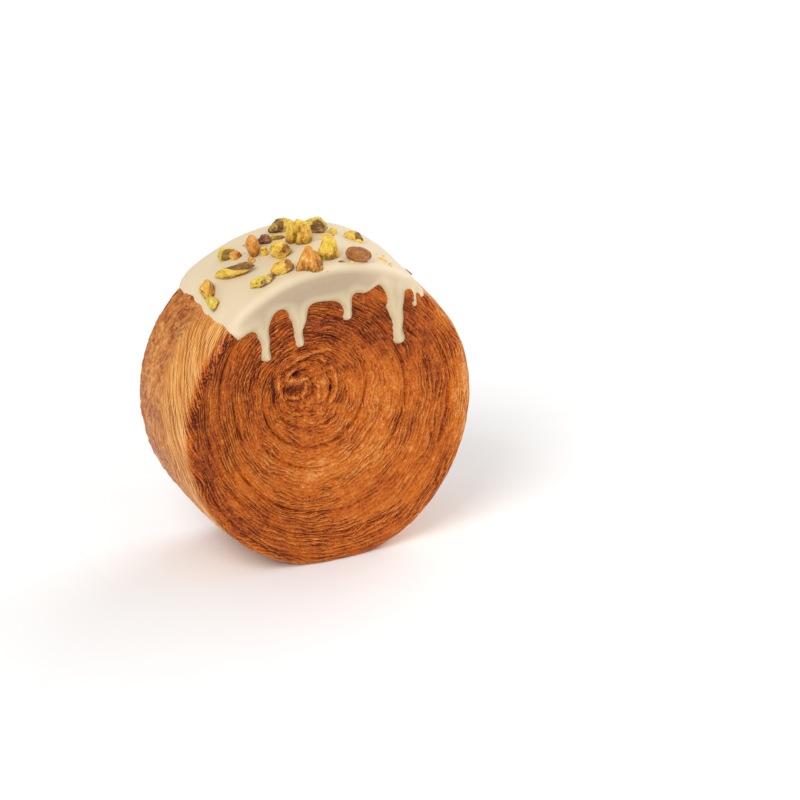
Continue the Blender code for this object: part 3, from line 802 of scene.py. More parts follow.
def new_tree(name, settings, keys, material):
    """A shape tree with an input for each of these settings. Gives its start, inputs and their values."""
    sizes = {key.replace("_", " ").title(): getattr(settings, key) for key in keys.split()}
    tree = bpy.data.node_groups.new(name, "GeometryNodeTree")
    kinds = {"Geometry": "Geometry", **dict.fromkeys(sizes, "Float"), "Material": "Material"}
    for key, kind in kinds.items():
        tree.interface.new_socket(key, in_out="INPUT", socket_type="NodeSocket" + kind)
    tree.interface.new_socket("Geometry", in_out="OUTPUT", socket_type="NodeSocketGeometry")
    at = Wire(tree)
    sockets = at.node("NodeGroupInput").socket.node.outputs
    given = {socket.name: Wire(tree, socket) for socket in sockets if socket.name}
    return at, given, {**sizes, "Material": material}


def grow(obj, at, given, sizes, shape):
    """Ends the tree, runs it on the object with these sizes, and keeps the result as a plain mesh."""
    real = at.node("GeometryNodeRealizeInstances", {}, {0: shape})
    painted = at.node("GeometryNodeSetMaterial", {}, {0: real, "Material": given["Material"]})
    at.node("NodeGroupOutput", {}, {0: painted}, output=None)
    growth = obj.modifiers.new(at.tree.name, "NODES")
    growth.node_group = at.tree
    for item in at.tree.interface.items_tree:
        if item.in_out == "INPUT" and item.name in sizes:
            growth[item.identifier] = sizes[item.name]
    bpy.context.view_layer.update()
    graph = bpy.context.evaluated_depsgraph_get()
    grown = bpy.data.meshes.new_from_object(obj.evaluated_get(graph))
    obj.modifiers.clear()
    obj.data = grown
    grown.shade_smooth()
    return obj


def keep(shape, name, value, **settings):
    """Keeps a value of each point or instance under a name, for the material."""
    inputs = {"Geometry": shape, "Name": name, "Value": value}
    return shape.node("GeometryNodeStoreNamedAttribute", settings, inputs)


def moved(at, shape, offset):
    """Moves the points of a shape."""
    return at.node("GeometryNodeSetPosition", {}, {"Geometry": shape, "Offset": offset})


def push_out(at, shape, height):
    """Moves the points of a shape along their own normals."""
    return moved(at, shape, vectors("SCALE", at.node("GeometryNodeInputNormal"), height))


def smooth_step(low, high, value):
    """0 at low and 1 at high, smooth between them. High may also be the smaller one."""
    share = np.clip((value - low) / (high - low), 0, 1)
    return share * share * (3 - 2 * share)


def hump(value, middle, width):
    """A soft round hump, 1 high."""
    return np.exp(-(((value - middle) / width) ** 2))


def past_cut(heading):
    """How far round from the cut a heading lies, to either side."""
    return (heading - CUT_ANGLE + math.pi) % math.tau - math.pi


def outline(dough, heading, inset=0.0):
    """Points (x, z) of the puck's outline, seen along its axis, or of a line inside it."""
    reach = dough.radius - inset
    for beats, cosine, sine in LOBES:
        reach = reach + (cosine * np.cos(beats * heading) + sine * np.sin(beats * heading)) * MM
    return reach * np.cos(heading), dough.stretch * reach * np.sin(heading)


def lane_of(share, heading):
    """The lane of dough at a point: 0 in the swirl's heart, and 1 at the rim that isn't cut."""
    pull = CUT_STRETCH * hump(past_cut(heading), 0, CUT_WIDTH)
    lane = share
    for _ in range(8):
        lane = share / (1 + pull * smooth_step(0.25, 0.6, lane))
    return lane


def column_headings(columns):
    """Directions of the columns, closer together where the rim cuts across the turns."""
    fine = np.linspace(0, math.tau, 3601)
    weight = 1 + CUT_CROWD * hump(past_cut(fine), 0, CUT_WIDTH)
    reached = np.concatenate([[0], np.cumsum((weight[1:] + weight[:-1]) / 2)])
    return np.interp(np.arange(columns) / columns * reached[-1], reached, fine)


def bumps(x, z, spots):
    """The sum of soft round bumps: x, z, half width and half height in mm, and a strength."""
    total = np.zeros_like(x)
    for spot_x, spot_z, wide, high, strength in spots:
        away = ((x / MM - spot_x) / wide) ** 2 + ((z / MM - spot_z) / high) ** 2
        total += strength * np.exp(-away)
    return total


def strokes(x, z, column):
    """The strongest petal and the strongest hollow of the heart at each point, for one of their columns."""
    high, low = np.zeros_like(x), np.zeros_like(x)
    for stroke in HEART:
        start, end = np.array(stroke[:2]), np.array(stroke[2:4])
        bend, wide = stroke[4:6]
        line = end - start
        reach = np.linalg.norm(line)
        from_x, from_z = x / MM - start[0], z / MM - start[1]
        ahead = (from_x * line[0] + from_z * line[1]) / reach
        aside = (from_z * line[0] - from_x * line[1]) / reach
        share = np.clip(ahead / reach, 0, 1)
        away = np.hypot(aside - 4 * bend * share * (1 - share), ahead - share * reach)
        strength = stroke[column] * hump(away, 0, wide)
        high, low = np.maximum(high, strength), np.minimum(low, strength)
    return high + low


def dough_rows(dough, headings):
    """Rows of points from the heart of the shown face over the rim and wall to the other heart.

    Each row has arrays of x, depth, z, lane, share of the face, tone, and way past the flat of the face.
    """
    half = dough.thickness / 2
    rim_x, rim_z = outline(dough, headings, dough.rim_round)
    rim_lane = lane_of(np.ones_like(headings), headings)
    rows = []

    def face_row(share, side):
        from_heart_x, from_heart_z = rim_x - dough.swirl_x, rim_z - dough.swirl_z
        x, z = dough.swirl_x + share * from_heart_x, dough.swirl_z + share * from_heart_z
        out = dough.dome * (1 - smooth_step(0, DOME_END, share)) + strokes(x, z, OUT) * MM
        lane = lane_of(np.full_like(headings, share), headings)
        # The heart's strokes make the tone paler on the petals and darker in the hollows, where it is
        # painted shade.
        tone = bumps(x, z, PATCHES) + strokes(x, z, PALER)
        past = (share - 1) * np.hypot(from_heart_x, from_heart_z)
        rows.append((x, side * (half + out), z, lane, np.ones_like(x), tone, past))

    def edge_row(out, depth, past, face):
        x, z = outline(dough, headings, -out)
        lane = rim_lane + WALL_LANE * past / dough.radius
        depth, face, past = (np.full_like(x, value) for value in (depth, face, past))
        rows.append((x, depth, z, lane, face, bumps(x, z, PATCHES), past))

    corner = []
    for row in range(1, ROUND_ROWS + 1):
        turn = math.pi / 2 * row / ROUND_ROWS
        out = dough.rim_round * (math.sin(turn) - 1)
        depth = half - dough.rim_round * (1 - math.cos(turn))
        face = 1 - float(smooth_step(0.4, 1.0, row / ROUND_ROWS))
        corner.append((out, depth, dough.rim_round * turn, face))

    for row in range(1, dough.front_rows + 1):
        face_row(row / dough.front_rows, -1)
    for out, depth, past, face in corner:
        edge_row(out, -depth, past, face)
    flat = half - dough.rim_round
    for row in range(1, dough.wall_rows):
        share = 2 * row / dough.wall_rows - 1
        past = dough.rim_round * math.pi / 2 + flat * (1 - abs(share))
        edge_row(dough.wall_bulge * (1 - share**2), flat * share, past, 0.0)
    for spot in reversed(corner):
        edge_row(*spot)
    for row in range(dough.back_rows, 0, -1):
        face_row(row / dough.back_rows, 1)
    return rows


def ring_faces(rows, columns):
    """Quads between rows of points that run round, closed by a fan round a point at each end."""
    here = np.arange(columns)
    after = (here + 1) % columns
    first = rows * columns
    faces = [(first, int(b), int(a)) for a, b in zip(here, after)]
    for row in range(rows - 1):
        low, high = row * columns, (row + 1) * columns
        faces += np.stack([low + here, low + after, high + after, high + here], 1).tolist()
    last = (rows - 1) * columns
    faces += [(first + 1, int(last + a), int(last + b)) for a, b in zip(here, after)]
    return faces


def turned_out(obj):
    """Turns the faces of a closed mesh so that all of them point out of it."""
    mesh = bmesh.new()
    mesh.from_mesh(obj.data)
    bmesh.ops.recalc_face_normals(mesh, faces=mesh.faces)
    if mesh.calc_volume(signed=True) < 0:
        bmesh.ops.reverse_faces(mesh, faces=mesh.faces)
    mesh.to_mesh(obj.data)
    mesh.free()
    return obj


def grow_layers(obj, dough, material):
    """Gives the dough its turns, leaves, curls and blisters, and the flat that it stands on."""
    keys = "turns growth shift pillow groove layers layer_depth curls crumbs"
    at, given, sizes = new_tree("rolled_layers", dough, keys, material)
    place = place_of(at)
    depth = part(place, 1)
    face = attribute(at, "face")
    lane = attribute(at, "lane")
    seam = attribute(at, "seam")

    # The turns swell between their grooves, which come and go, and the gap round the heart is the widest
    phase = swirl_phase(at, given["Turns"], given["Growth"], given["Shift"])
    pillow = at.maths("SINE", at.maths("POWER", phase, 0.8) * math.pi) - 0.62
    shown = rise(noise(join(at, lane * 9, *run_along(at, 2.2)), 1.0, 1.0), 0.36, 0.6)
    ring = rise(lane, 0.31, 0.36) * (1 - rise(lane, 0.40, 0.45))
    near = at.maths("MINIMUM", phase, 1 - phase)
    groove = (1 - rise(near, 0.0, 0.13)) * at.maths("MAXIMUM", shown, ring * 0.7) * seam
    height = seam * given["Pillow"] * pillow - given["Groove"] * groove * (1 + 0.4 * ring)

    # The leaves end in torn lips, softer on the other face
    leaf = leaf_count(at, given["Layers"], LEAF_RUN, 0.0)
    edge = (torn_edge(leaf, 0.1, 0.75) - 0.45) * (1 - 0.7 * rise(depth, 0.0, 0.02) * face)
    own = own_tone(at, leaf, *OWN_RUN)
    height = height + given["Layer Depth"] * (edge * (0.45 + 0.55 * face) + own * 1.5)

    # Crusty curls lie round the heart, and crumbly beads along the rim
    curl = swing(join(at, lane * 21, *run_along(at, 3.4, 7.0)), 1.0, 2.0, 0.55)
    curl = curl * (1 - rise(lane, 0.26, 0.42)) * rise(lane, 0.02, 0.08) * face
    height = height + given["Curls"] * curl * 1.6
    height = height + given["Crumbs"] * attribute(at, "beads") * swing(place, BEAD_LUMPS, 1.0)

    # The wall is blistered, and ragged along its far rim
    ragged = 1 + 7 * rise(depth, 0.014, 0.0195) * (1 - face)
    rough = swing(place, CRACKLE, 3.0, 0.6) * 0.3 * ragged + swing(place, 70, 1.0) * 0.9 * (1 - face)
    shape = push_out(at, given["Geometry"], height + rough * MM)
    # Gap keeps the grooves for the material, which paints shade in them; curl keeps the curls, whose tops
    # it paints paler.
    shape = keep(shape, "gap", groove * (0.5 + 0.15 * ring))
    shape = keep(shape, "curl", curl)

    # What would reach below the floor is pressed flat on it
    z = part(place_of(at), 2)
    lift = (at.maths("SQRT", z * z + FOOT_SOFT * FOOT_SOFT) - z) / 2
    return grow(obj, at, given, sizes, moved(at, shape, join(at, 0.0, 0.0, lift)))


def make_dough(dough, material):
    """The rolled dough, which stands for the solid pastry."""
    headings = column_headings(dough.columns)
    rows = dough_rows(dough, headings)
    heart = np.array([dough.swirl_x]), np.array([dough.swirl_z])
    out = dough.thickness / 2 + dough.dome + float(strokes(*heart, OUT)[0]) * MM
    tone = float(strokes(*heart, PALER)[0])
    hearts = [(dough.swirl_x, side * out, dough.swirl_z, 0, 1, tone, -1) for side in (-1, 1)]
    columns = np.stack([np.concatenate(column) for column in zip(*rows)])
    x, depth, z, lane, face, tone, past = np.concatenate([columns, np.transpose(hearts)], 1)
    z, past = z + dough.middle_z, past / MM
    turned = np.concatenate([np.tile(headings, len(rows)), [0, 0]])
    first, last = BEADS
    shown = smooth_step(first, first + 0.15, turned) * smooth_step(last, last - 0.2, turned)
    bare = 0.55 * smooth_step(0, 6, past) * (depth < 0) + 0.3 * (depth > 0.02)
    numbers = {
        "lane": lane,
        "face": face,
        "beads": hump(past, *BEAD_LINE) * shown * (depth < 0),
        "tone": tone,
        "round_x": np.cos(turned),
        "round_z": np.sin(turned),
        "seam": smooth_step(0.03, 0.10, lane) * smooth_step(0.85, 1.0, face),
        "flaky": (1 - bare) * (z > FLAKES_START * MM),
    }
    points = np.stack([x, depth, z], 1)
    obj = new_object("dough", points, ring_faces(len(rows), dough.columns), numbers, material)
    turned_out(obj)
    shape = (len(rows), dough.columns)
    along = along_layers(points[:-2].reshape(*shape, 3), lane[:-2].reshape(shape)).reshape(-1, 3)
    store(obj.data, "along", np.concatenate([along, [(1, 0, 0)] * 2]))
    return grow_layers(obj, dough, material)


def blend_high(first, second, reach):
    """The higher of two heights, with a soft hollow of this reach where they meet."""
    near = np.clip(reach - np.abs(first - second), 0, None) / reach
    return np.maximum(first, second) + near**2 * reach / 4


def blend_low(first, second, reach):
    """The lower of two heights, softened where they meet."""
    return -blend_high(-first, -second, reach)


def band_width(band, from_top):
    """How far the icing reaches down a face between its drips, in mm."""
    stops = np.array(band)
    index = np.clip(np.searchsorted(stops[:, 0], from_top) - 1, 0, len(stops) - 2)
    left, right = stops[index], stops[index + 1]
    share = smooth_step(left[:, 0], right[:, 0], from_top)
    return left[:, 1] + (right[:, 1] - left[:, 1]) * share


def drip_depth(x, z, drip):
    """How deep inside a drip a point of a face lies, in mm: below 0 outside it."""
    top_x, tip_x, tip_z, wide, narrow = drip
    start = np.array([top_x, DRIP_START])
    end = np.array([tip_x, tip_z + narrow / 2])
    line = end - start
    x = x + DRIP_SWAY * np.sin(DRIP_BEATS * z + top_x) * min(1.0, narrow / 3)
    share = np.clip(((x - start[0]) * line[0] + (z - start[1]) * line[1]) / (line @ line), 0, 1)
    away = np.hypot(x - start[0] - share * line[0], z - start[1] - share * line[1])
    width = wide + (narrow - wide) * smooth_step(*DRIP_NARROWS, share)
    width = width * (1 + DRIP_BEAD * smooth_step(*DRIP_ROUNDS, share))
    return width / 2 - away


def icing_rows(dough, icing):
    """Rows across the puck: side, inset from the outline, way out of it, depth, lean, way past the rim."""
    flat = dough.thickness / 2 - dough.rim_round
    rows = []
    for step in range(round((ICING_DEPTH * MM - dough.rim_round) / icing.step)):
        inset = ICING_DEPTH * MM - step * icing.step
        rows.append((inset, dough.thickness / 2, 0.0))
    corner_rows = ROUND_ROWS + 3
    for step in range(corner_rows):
        lean = math.pi / 2 * step / corner_rows
        inset = dough.rim_round * (1 - math.sin(lean))
        rows.append((inset, flat + dough.rim_round * math.cos(lean), lean))
    front = [(-1, inset, -inset, -depth, lean, 0.0) for inset, depth, lean in rows]
    back = [(1, inset, -inset, depth, lean, 0.0) for inset, depth, lean in reversed(rows)]
    wall_rows = round(2 * flat / (WALL_STEP * icing.step))
    wall = []
    for step in range(wall_rows + 1):
        share = 2 * step / wall_rows - 1
        out = dough.wall_bulge * (1 - share**2)
        side = -1 if share < 0 else 1
        wall.append((side, 0.0, out, flat * share, math.pi / 2, flat * (1 - abs(share))))
    return front + wall + back


def icing_grid(dough, icing):
    """Arrays over the sheet of icing, one row after the other.

    They are places, directions out, mm inside its edge, how much it faces away from the roll's axis,
    mm from its ends, and mm past the flat of the face.
    """
    start, end = icing.left - icing.spare, icing.right + icing.spare
    columns = round(math.radians(end - start) * dough.radius / (COLUMN_STEP * icing.step))
    from_top = np.linspace(start, end, columns)
    heading = np.radians(90 - from_top)
    made = []
    for side, inset, out, depth, lean, past in icing_rows(dough, icing):
        x, z = outline(dough, heading, -out)
        band, drips = (FRONT_BAND, FRONT_DRIPS) if side < 0 else (BACK_BAND, BACK_DRIPS)
        inside = band_width(band, from_top) - inset / MM + past / MM
        wave = sum(high * math.sin(beats * depth + shift) for high, beats, shift in END_WAVES)
        scale = math.radians(1) * (dough.radius / MM - inset / MM)
        left = (from_top - icing.left - wave) * scale
        right = (icing.right - from_top + wave) * scale
        inside = blend_low(inside, blend_low(left * END_SLOPE, right * END_SLOPE, 1.0), 1.6)
        for drip in drips if past == 0 else ():
            fillet = icing.fillet / MM * min(1.0, drip[4] / 3)
            inside = blend_high(inside, drip_depth(x / MM, z / MM, drip), fillet)
        level = math.sin(lean)
        path = (dough.rim_round * (1 + lean) - inset) / MM + past / MM
        tilt, depth, level_row, path = (
            np.full_like(x, value) for value in (side * math.cos(lean), depth, level, path)
        )
        place = np.stack([x, depth, z + dough.middle_z], 1)
        outward = np.stack([level * np.cos(heading), tilt, level * np.sin(heading)], 1)
        made.append((place, outward, inside, level_row, np.minimum(left, right), path))
    return (np.array(values) for values in zip(*made))


def wave_over(places):
    """Slow swells of the poured icing, from -1 to 1."""
    x, y, z = (places[..., axis] / MM for axis in range(3))
    slow = np.sin(0.21 * x + 0.4) * np.sin(0.17 * y + 1.1)
    return 0.6 * slow + 0.4 * np.sin(0.43 * x - 0.31 * y) * np.sin(0.29 * y + 0.15 * z)


def make_icing(dough, icing, material):
    """The icing: thick on top, thinner over the rim, and rounded at its edge and its drips."""
    places, outs, inside, level, ends, past_rim = icing_grid(dough, icing)
    body = icing.face_thick + (icing.thick - icing.face_thick) * level
    body = body * (1 - icing.thin_ends * (1 - smooth_step(0, 8, ends)) * level)
    body = body + ICING_SWELL * MM * wave_over(places) * level
    for place, width, high in (EDGE_BEAD, EDGE_SAG):
        body = body + high * MM * hump(inside, place, width) * (1 - level)
    width = icing.edge / MM
    edge = 1 - (1 - np.clip(inside / width, 0, 1)) ** 2
    height = body * edge + np.clip(inside, -3, 0) * 2 * icing.face_thick / width
    height = np.maximum(height, -icing.sunk)
    top = places + outs * height[..., None]
    bottom = places - outs * (icing.sunk + ICING_UNDER * MM)
    inmost = np.maximum(inside[:-1], inside[1:])
    kept = np.maximum(inmost[:, :-1], inmost[:, 1:]) > -ICING_MARGIN
    # Thin is painted shade where the icing turns over the rim from the top to the face, partly thin icing
    # there; it is strongest near band_x and fades to both sides, at the edge and at the ends.
    down = icing.band_start / MM - past_rim
    thin = smooth_step(0, 4.2, down) * (1 - smooth_step(0.5, 1.0, down * MM / icing.band))
    thin = thin * smooth_step(0, 4.5, inside) * smooth_step(0, 3, ends)
    thin = 1.2 * thin * hump(places[..., 0], icing.band_x, icing.fading)
    # Low is 1 on the faces below the rim, where the icing gets its painted shade.
    numbers = {"thin": thin.ravel(), "low": smooth_step(2, -3, past_rim).ravel()}
    return closed_sheet("icing_coat", top, bottom, kept, numbers, material)


def closed_sheet(name, top, bottom, kept, numbers, material):
    """A closed mesh between two grids of points, walled in round the cells that are kept."""
    pinched = kept[:-1, :-1] & kept[1:, 1:] & ~kept[:-1, 1:] & ~kept[1:, :-1]
    kept[:-1, 1:] |= pinched
    pinched = ~kept[:-1, :-1] & ~kept[1:, 1:] & kept[:-1, 1:] & kept[1:, :-1]
    kept[:-1, :-1] |= pinched
    rows, columns = top.shape[:2]
    ids = np.arange(rows * columns).reshape(rows, columns)
    under = rows * columns
    corners = np.stack([ids[:-1, :-1], ids[:-1, 1:], ids[1:, 1:], ids[1:, :-1]], -1)
    faces = [*corners[kept].tolist(), *(corners[kept][:, ::-1] + under).tolist()]
    padded = np.pad(kept, 1)
    beside = (padded[:-2, 1:-1], padded[1:-1, 2:], padded[2:, 1:-1], padded[1:-1, :-2])
    for edge, other in enumerate(beside):
        bare = kept & ~other
        start, end = corners[bare][:, edge], corners[bare][:, (edge + 1) % 4]
        faces += np.stack([end, start, start + under, end + under], 1).tolist()
    points = np.concatenate([top.reshape(-1, 3), bottom.reshape(-1, 3)])
    faces = np.array(faces)
    used, index = np.unique(faces, return_inverse=True)
    doubled = {key: np.concatenate([values, values])[used] for key, values in numbers.items()}
    obj = new_object(name, points[used], index.reshape(faces.shape).tolist(), doubled, material)
    return turned_out(obj)


def icing_spot(dough, icing, from_top, depth):
    """A point on the icing and the direction out of it there, also round the rims."""
    heading = math.radians(90 - from_top)
    flat = dough.thickness / 2 - dough.rim_round
    corner = dough.rim_round + icing.face_thick
    lean = math.asin(min(0.95, max(0.0, abs(depth) - flat) / corner))
    share = min(1.0, abs(depth) / flat)
    out = dough.wall_bulge * (1 - share**2) + icing.thick - corner * (1 - math.cos(lean))
    x, z = outline(dough, np.array([heading]), -out)
    outward = Vector((math.cos(heading), 0, math.sin(heading))) * math.cos(lean)
    outward.y = math.copysign(math.sin(lean), depth)
    return Vector((x[0], depth, z[0] + dough.middle_z)), outward


def facing(heading, slope):
    """The direction with a heading and a slope, both in degrees."""
    level = math.cos(math.radians(slope))
    turned = math.radians(heading)
    return np.array([level * math.cos(turned), level * math.sin(turned), math.sin(math.radians(slope))])


def nut_shape(chop, detail, sharpness, draw, shave):
    """Points of a chopped kernel in a box from -1 to 1, its faces, and how much each point is cut flesh."""
    mesh = bmesh.new()
    bmesh.ops.create_icosphere(mesh, subdivisions=detail, radius=1)
    points = np.array([vert.co for vert in mesh.verts])
    faces = [[vert.index for vert in face.verts] for face in mesh.faces]
    mesh.free()
    whole = np.ones(len(points))
    for heading, slope, width, amount in SWELLS.get(chop, ()):
        away = np.degrees(np.arccos(np.clip(points @ facing(heading, slope), -1, 1)))
        whole += amount * hump(away, 0, width)
    total = whole**-sharpness
    nearest = np.full(len(points), 9.0)
    for heading, slope, place in CHOPS[chop]:
        turned = heading + draw.uniform(-CHOP_TURN, CHOP_TURN)
        reach = place / np.maximum(points @ facing(turned, slope), 0.02)
        nearest = np.minimum(nearest, reach)
        total += reach**-sharpness
    for _ in range(SHAVES if chop != "kernel" else 0):
        direction = facing(shave.uniform(0, 360), shave.uniform(*SHAVE_SLOPES))
        reach = shave.uniform(*SHAVE_PLACES) / np.maximum(points @ direction, 0.02)
        total += reach**-sharpness
    spot, width, depth = CLEFTS.get(chop, (0.0, 1.0, 0.0))
    cleft = 1 - depth * hump(points[:, 0], spot, width)
    points = points * (cleft * total ** (-1 / sharpness))[:, None]
    low, high = points.min(0), points.max(0)
    points = 2 * (points - low) / (high - low) - 1
    points[:, 1:] *= (1 - TAPERS.get(chop, 0.0) * np.abs(points[:, 0]) ** 2.5)[:, None]
    return points, faces, smooth_step(1.08, 0.95, nearest)


def place_nut(dough, icing, nut, points, sunk):
    """Gives a kernel its size, turns it to its heading and sets it into the icing."""
    spot, outward = icing_spot(dough, icing, nut.from_top, nut.back * MM)
    seat = spot + outward * (nut.high / 2 * MM - sunk)
    lean = Vector((0, 0, 1)).rotation_difference(outward).to_matrix().to_4x4()
    turn = Matrix.Rotation(math.radians(nut.heading), 4, "Z")
    size = Matrix.Diagonal((nut.long / 2 * MM, nut.wide / 2 * MM, nut.high / 2 * MM, 1))
    matrix = np.array(Matrix.Translation(seat) @ lean @ turn @ size)
    return points @ matrix[:3, :3].T + matrix[:3, 3]


def nut_parts(scene, nut, large, draws):
    """The points, faces and stored numbers of one chopped nut."""
    nuts = scene.croissant_nuts
    detail = nuts.detail if large else nuts.small_detail
    points, faces, cut = nut_shape(nut.chop, detail, nuts.edge, *draws)
    stretch = [1, 1, GRAIN_STRETCH] if nut.chop in UPRIGHT else [GRAIN_STRETCH, 1, 1]
    half_size = np.array([nut.long, nut.wide, nut.high]) / 2 * MM
    grain = points * half_size * np.array(stretch) + np.array([nut.from_top, nut.back, nut.long])
    # How near the base of the nut a point lies, for its painted shade there.
    low = smooth_step(0.1, -0.9, points[:, 2])
    sunk = nuts.sunk if large else SMALL_SUNK * nuts.sunk
    points = place_nut(scene.croissant_dough, scene.croissant_icing, nut, points, sunk)
    direction, reach = SIDES[nut.side]
    outward = points - points.mean(0)
    outward /= np.linalg.norm(outward, axis=1)[:, None]
    skin = smooth_step(reach, reach + 0.25, outward @ np.array(Vector(direction).normalized()))
    numbers = {
        "cut": cut,
        "skin": skin if nut.side == "all" else skin * (1 - 0.35 * cut),
        "ripe": np.full(len(points), nut.ripe),
        "skin_tone": np.full(len(points), nut.skin_tone),
        "low": low,
        "grain": grain,
    }
    return points, faces, numbers


def crumble(at, shape, depth, lump):
    """Gives a kernel lumps, ridges and crumbs, smoother under its skin."""
    grain = attribute(at, "grain", "FLOAT_VECTOR")
    lumps = swing(grain, 290, 1.0)
    ridges = swing(grain, 560, 3.0, 0.6)
    fine = swing(place_of(at), SPECKS, 2.0, 0.6)
    rough = (ridges * 3.2 + fine * 1.4) * (0.7 + 0.3 * attribute(at, "cut"))
    return keep(push_out(at, shape, depth * rough + lump * lumps), "relief", rough)


def grow_kernel(obj, nuts, material):
    """Gives chopped nuts their crumbly cut faces and wrinkled skin."""
    at, given, sizes = new_tree("crumbly_kernel", nuts, "crumble lump", material)
    shape = crumble(at, given["Geometry"], given["Crumble"], given["Lump"])
    return grow(obj, at, given, sizes, shape)


def make_nuts(scene, material, draws):
    """One piece for each large nut."""
    made = []
    for index, row in enumerate(LARGE_NUTS):
        parts = nut_parts(scene, Nut(*row), True, draws)
        obj = new_object(f"pistachio_{index + 1:02d}", *parts, material)
        made.append(grow_kernel(obj, scene.croissant_nuts, material))
    return made


def make_small_nuts(scene, material, draws):
    """All the small nuts as one piece."""
    points, faces, numbers = [], [], {}
    for row in SMALL_NUTS:
        new_points, new_faces, new_numbers = nut_parts(scene, Nut(*row), False, draws)
        start = sum(len(some) for some in points)
        points.append(new_points)
        faces += [[start + index for index in face] for face in new_faces]
        for key, values in new_numbers.items():
            numbers.setdefault(key, []).append(values)
    joined = {key: np.concatenate(values) for key, values in numbers.items()}
    obj = new_object("pistachio_bits", np.concatenate(points), faces, joined, material)
    return grow_kernel(obj, scene.croissant_nuts, material)


def along_layers(places, lanes):
    """At each point of a grid that is closed round its columns, the direction in which the lane stays."""
    step = np.roll(places, -1, 1) - np.roll(places, 1, 1)
    out = np.gradient(places, axis=0)
    lane_step = np.roll(lanes, -1, 1) - np.roll(lanes, 1, 1)
    lane_out = np.gradient(lanes, axis=0)
    along = step * lane_out[..., None] - out * lane_step[..., None]
    return along / np.maximum(np.linalg.norm(along, axis=-1), 1e-12)[..., None]


def draw_between(at, low, high, seed):
    """A number of its own for each scattered point, between two."""
    inputs = {2: low, 3: high, 8: seed}
    return at.node("FunctionNodeRandomValue", {"data_type": "FLOAT"}, inputs, output=1)


def aligned(at, axis, vector, turned=None):
    """A rotation that points an axis along a vector. One that is given turns on round its own Z only."""
    settings = {"axis": axis, "pivot_axis": "AUTO" if turned is None else "Z"}
    inputs = {"Vector": vector} if turned is None else {"Vector": vector, "Rotation": turned}
    return at.node("FunctionNodeAlignRotationToVector", settings, inputs)


def turned_by(at, rotation, axis, by):
    """A rotation that is turned further, round one of its own axes."""
    more = at.node("FunctionNodeAxisAngleToRotation", {}, {"Axis": axis, "Angle": by})
    inputs = {"Rotation": rotation, "Rotate By": more}
    return at.node("FunctionNodeRotateRotation", {"rotation_space": "LOCAL"}, inputs)


def scatter(at, shape, density, seed):
    """Random points on a shape and the direction out of it at each."""
    inputs = {"Mesh": shape, "Density": density, "Seed": seed}
    points = at.node("GeometryNodeDistributePointsOnFaces", {}, inputs)
    return points, Wire(at.tree, points.socket.node.outputs["Normal"])


def laid_on(at, spots, shape, turn, scale):
    """A copy of a shape on each scattered point."""
    inputs = {"Points": spots, "Instance": shape, "Rotation": turn, "Scale": scale}
    return at.node("GeometryNodeInstanceOnPoints", {}, inputs)


def grow_flakes(obj, flakes, material):
    """Turns a mesh into thin torn flakes of crust that lie along its leaves."""
    at, given, sizes = new_tree("torn_flakes", flakes, "density length width thickness tilt", material)
    spots, normal = scatter(at, given["Geometry"], given["Density"] * attribute(at, "flaky"), 5)
    along = attribute(at, "along", "FLOAT_VECTOR")
    turn = aligned(at, "X", along, aligned(at, "Z", normal))
    turn = turned_by(at, turn, (1, 0, 0), given["Tilt"] * draw_between(at, -1.0, 1.0, 2))
    size = join(at, given["Length"], given["Width"], given["Thickness"])
    sheet = at.node("GeometryNodeMeshCube", {}, {"Size": size, "Vertices X": 4, "Vertices Y": 3})
    x, y = part(place_of(at), 0), part(place_of(at), 1)
    sheet = moved(at, sheet, join(at, 0.0, x * x * 160, x * x * -220 - y * y * 500))
    scale = join(at, draw_between(at, 0.5, 2.0, 3), draw_between(at, 0.6, 1.4, 4), 1.0)
    laid = laid_on(at, spots, sheet, turn, scale)
    laid = keep(laid, "pale", draw_between(at, 0.0, 0.85, 6), domain="INSTANCE")
    return grow(obj, at, given, sizes, laid)


def make_flakes(dough_obj, flakes, material):
    """Flakes of crust over the whole puck, as one piece."""
    return grow_flakes(copy_of(dough_obj, "crust_flakes", material), flakes, material)


def grow_crumbs(obj, crumbs, material):
    """Turns a mesh into fine crumbs of nut that lie on it."""
    at, given, sizes = new_tree("nut_crumbs", crumbs, "density size crumble", material)
    spots, normal = scatter(at, given["Geometry"], given["Density"] * attribute(at, "near_nuts"), 11)
    ball = at.node("GeometryNodeMeshIcoSphere", {}, {"Radius": given["Size"] / 2, "Subdivisions": 4})
    size = draw_between(at, 0.4, 1.0, 1)
    scale = join(at, size * draw_between(at, 0.9, 1.7, 2), size, size * draw_between(at, 0.6, 1.0, 3))
    turn = turned_by(at, aligned(at, "Z", normal), (0, 0, 1), draw_between(at, 0.0, math.tau, 4))
    laid = laid_on(at, spots, ball, turn, scale)
    for name, low, high, seed in CRUMB_LOOKS:
        laid = keep(laid, name, draw_between(at, low, high, seed), domain="INSTANCE")
    laid = at.node("GeometryNodeRealizeInstances", {}, {0: laid})
    laid = keep(laid, "cut", 1.0)
    laid = keep(laid, "grain", place_of(at), data_type="FLOAT_VECTOR")
    shape = crumble(at, laid, given["Crumble"], given["Size"] * 0.6)
    return grow(obj, at, given, sizes, shape)


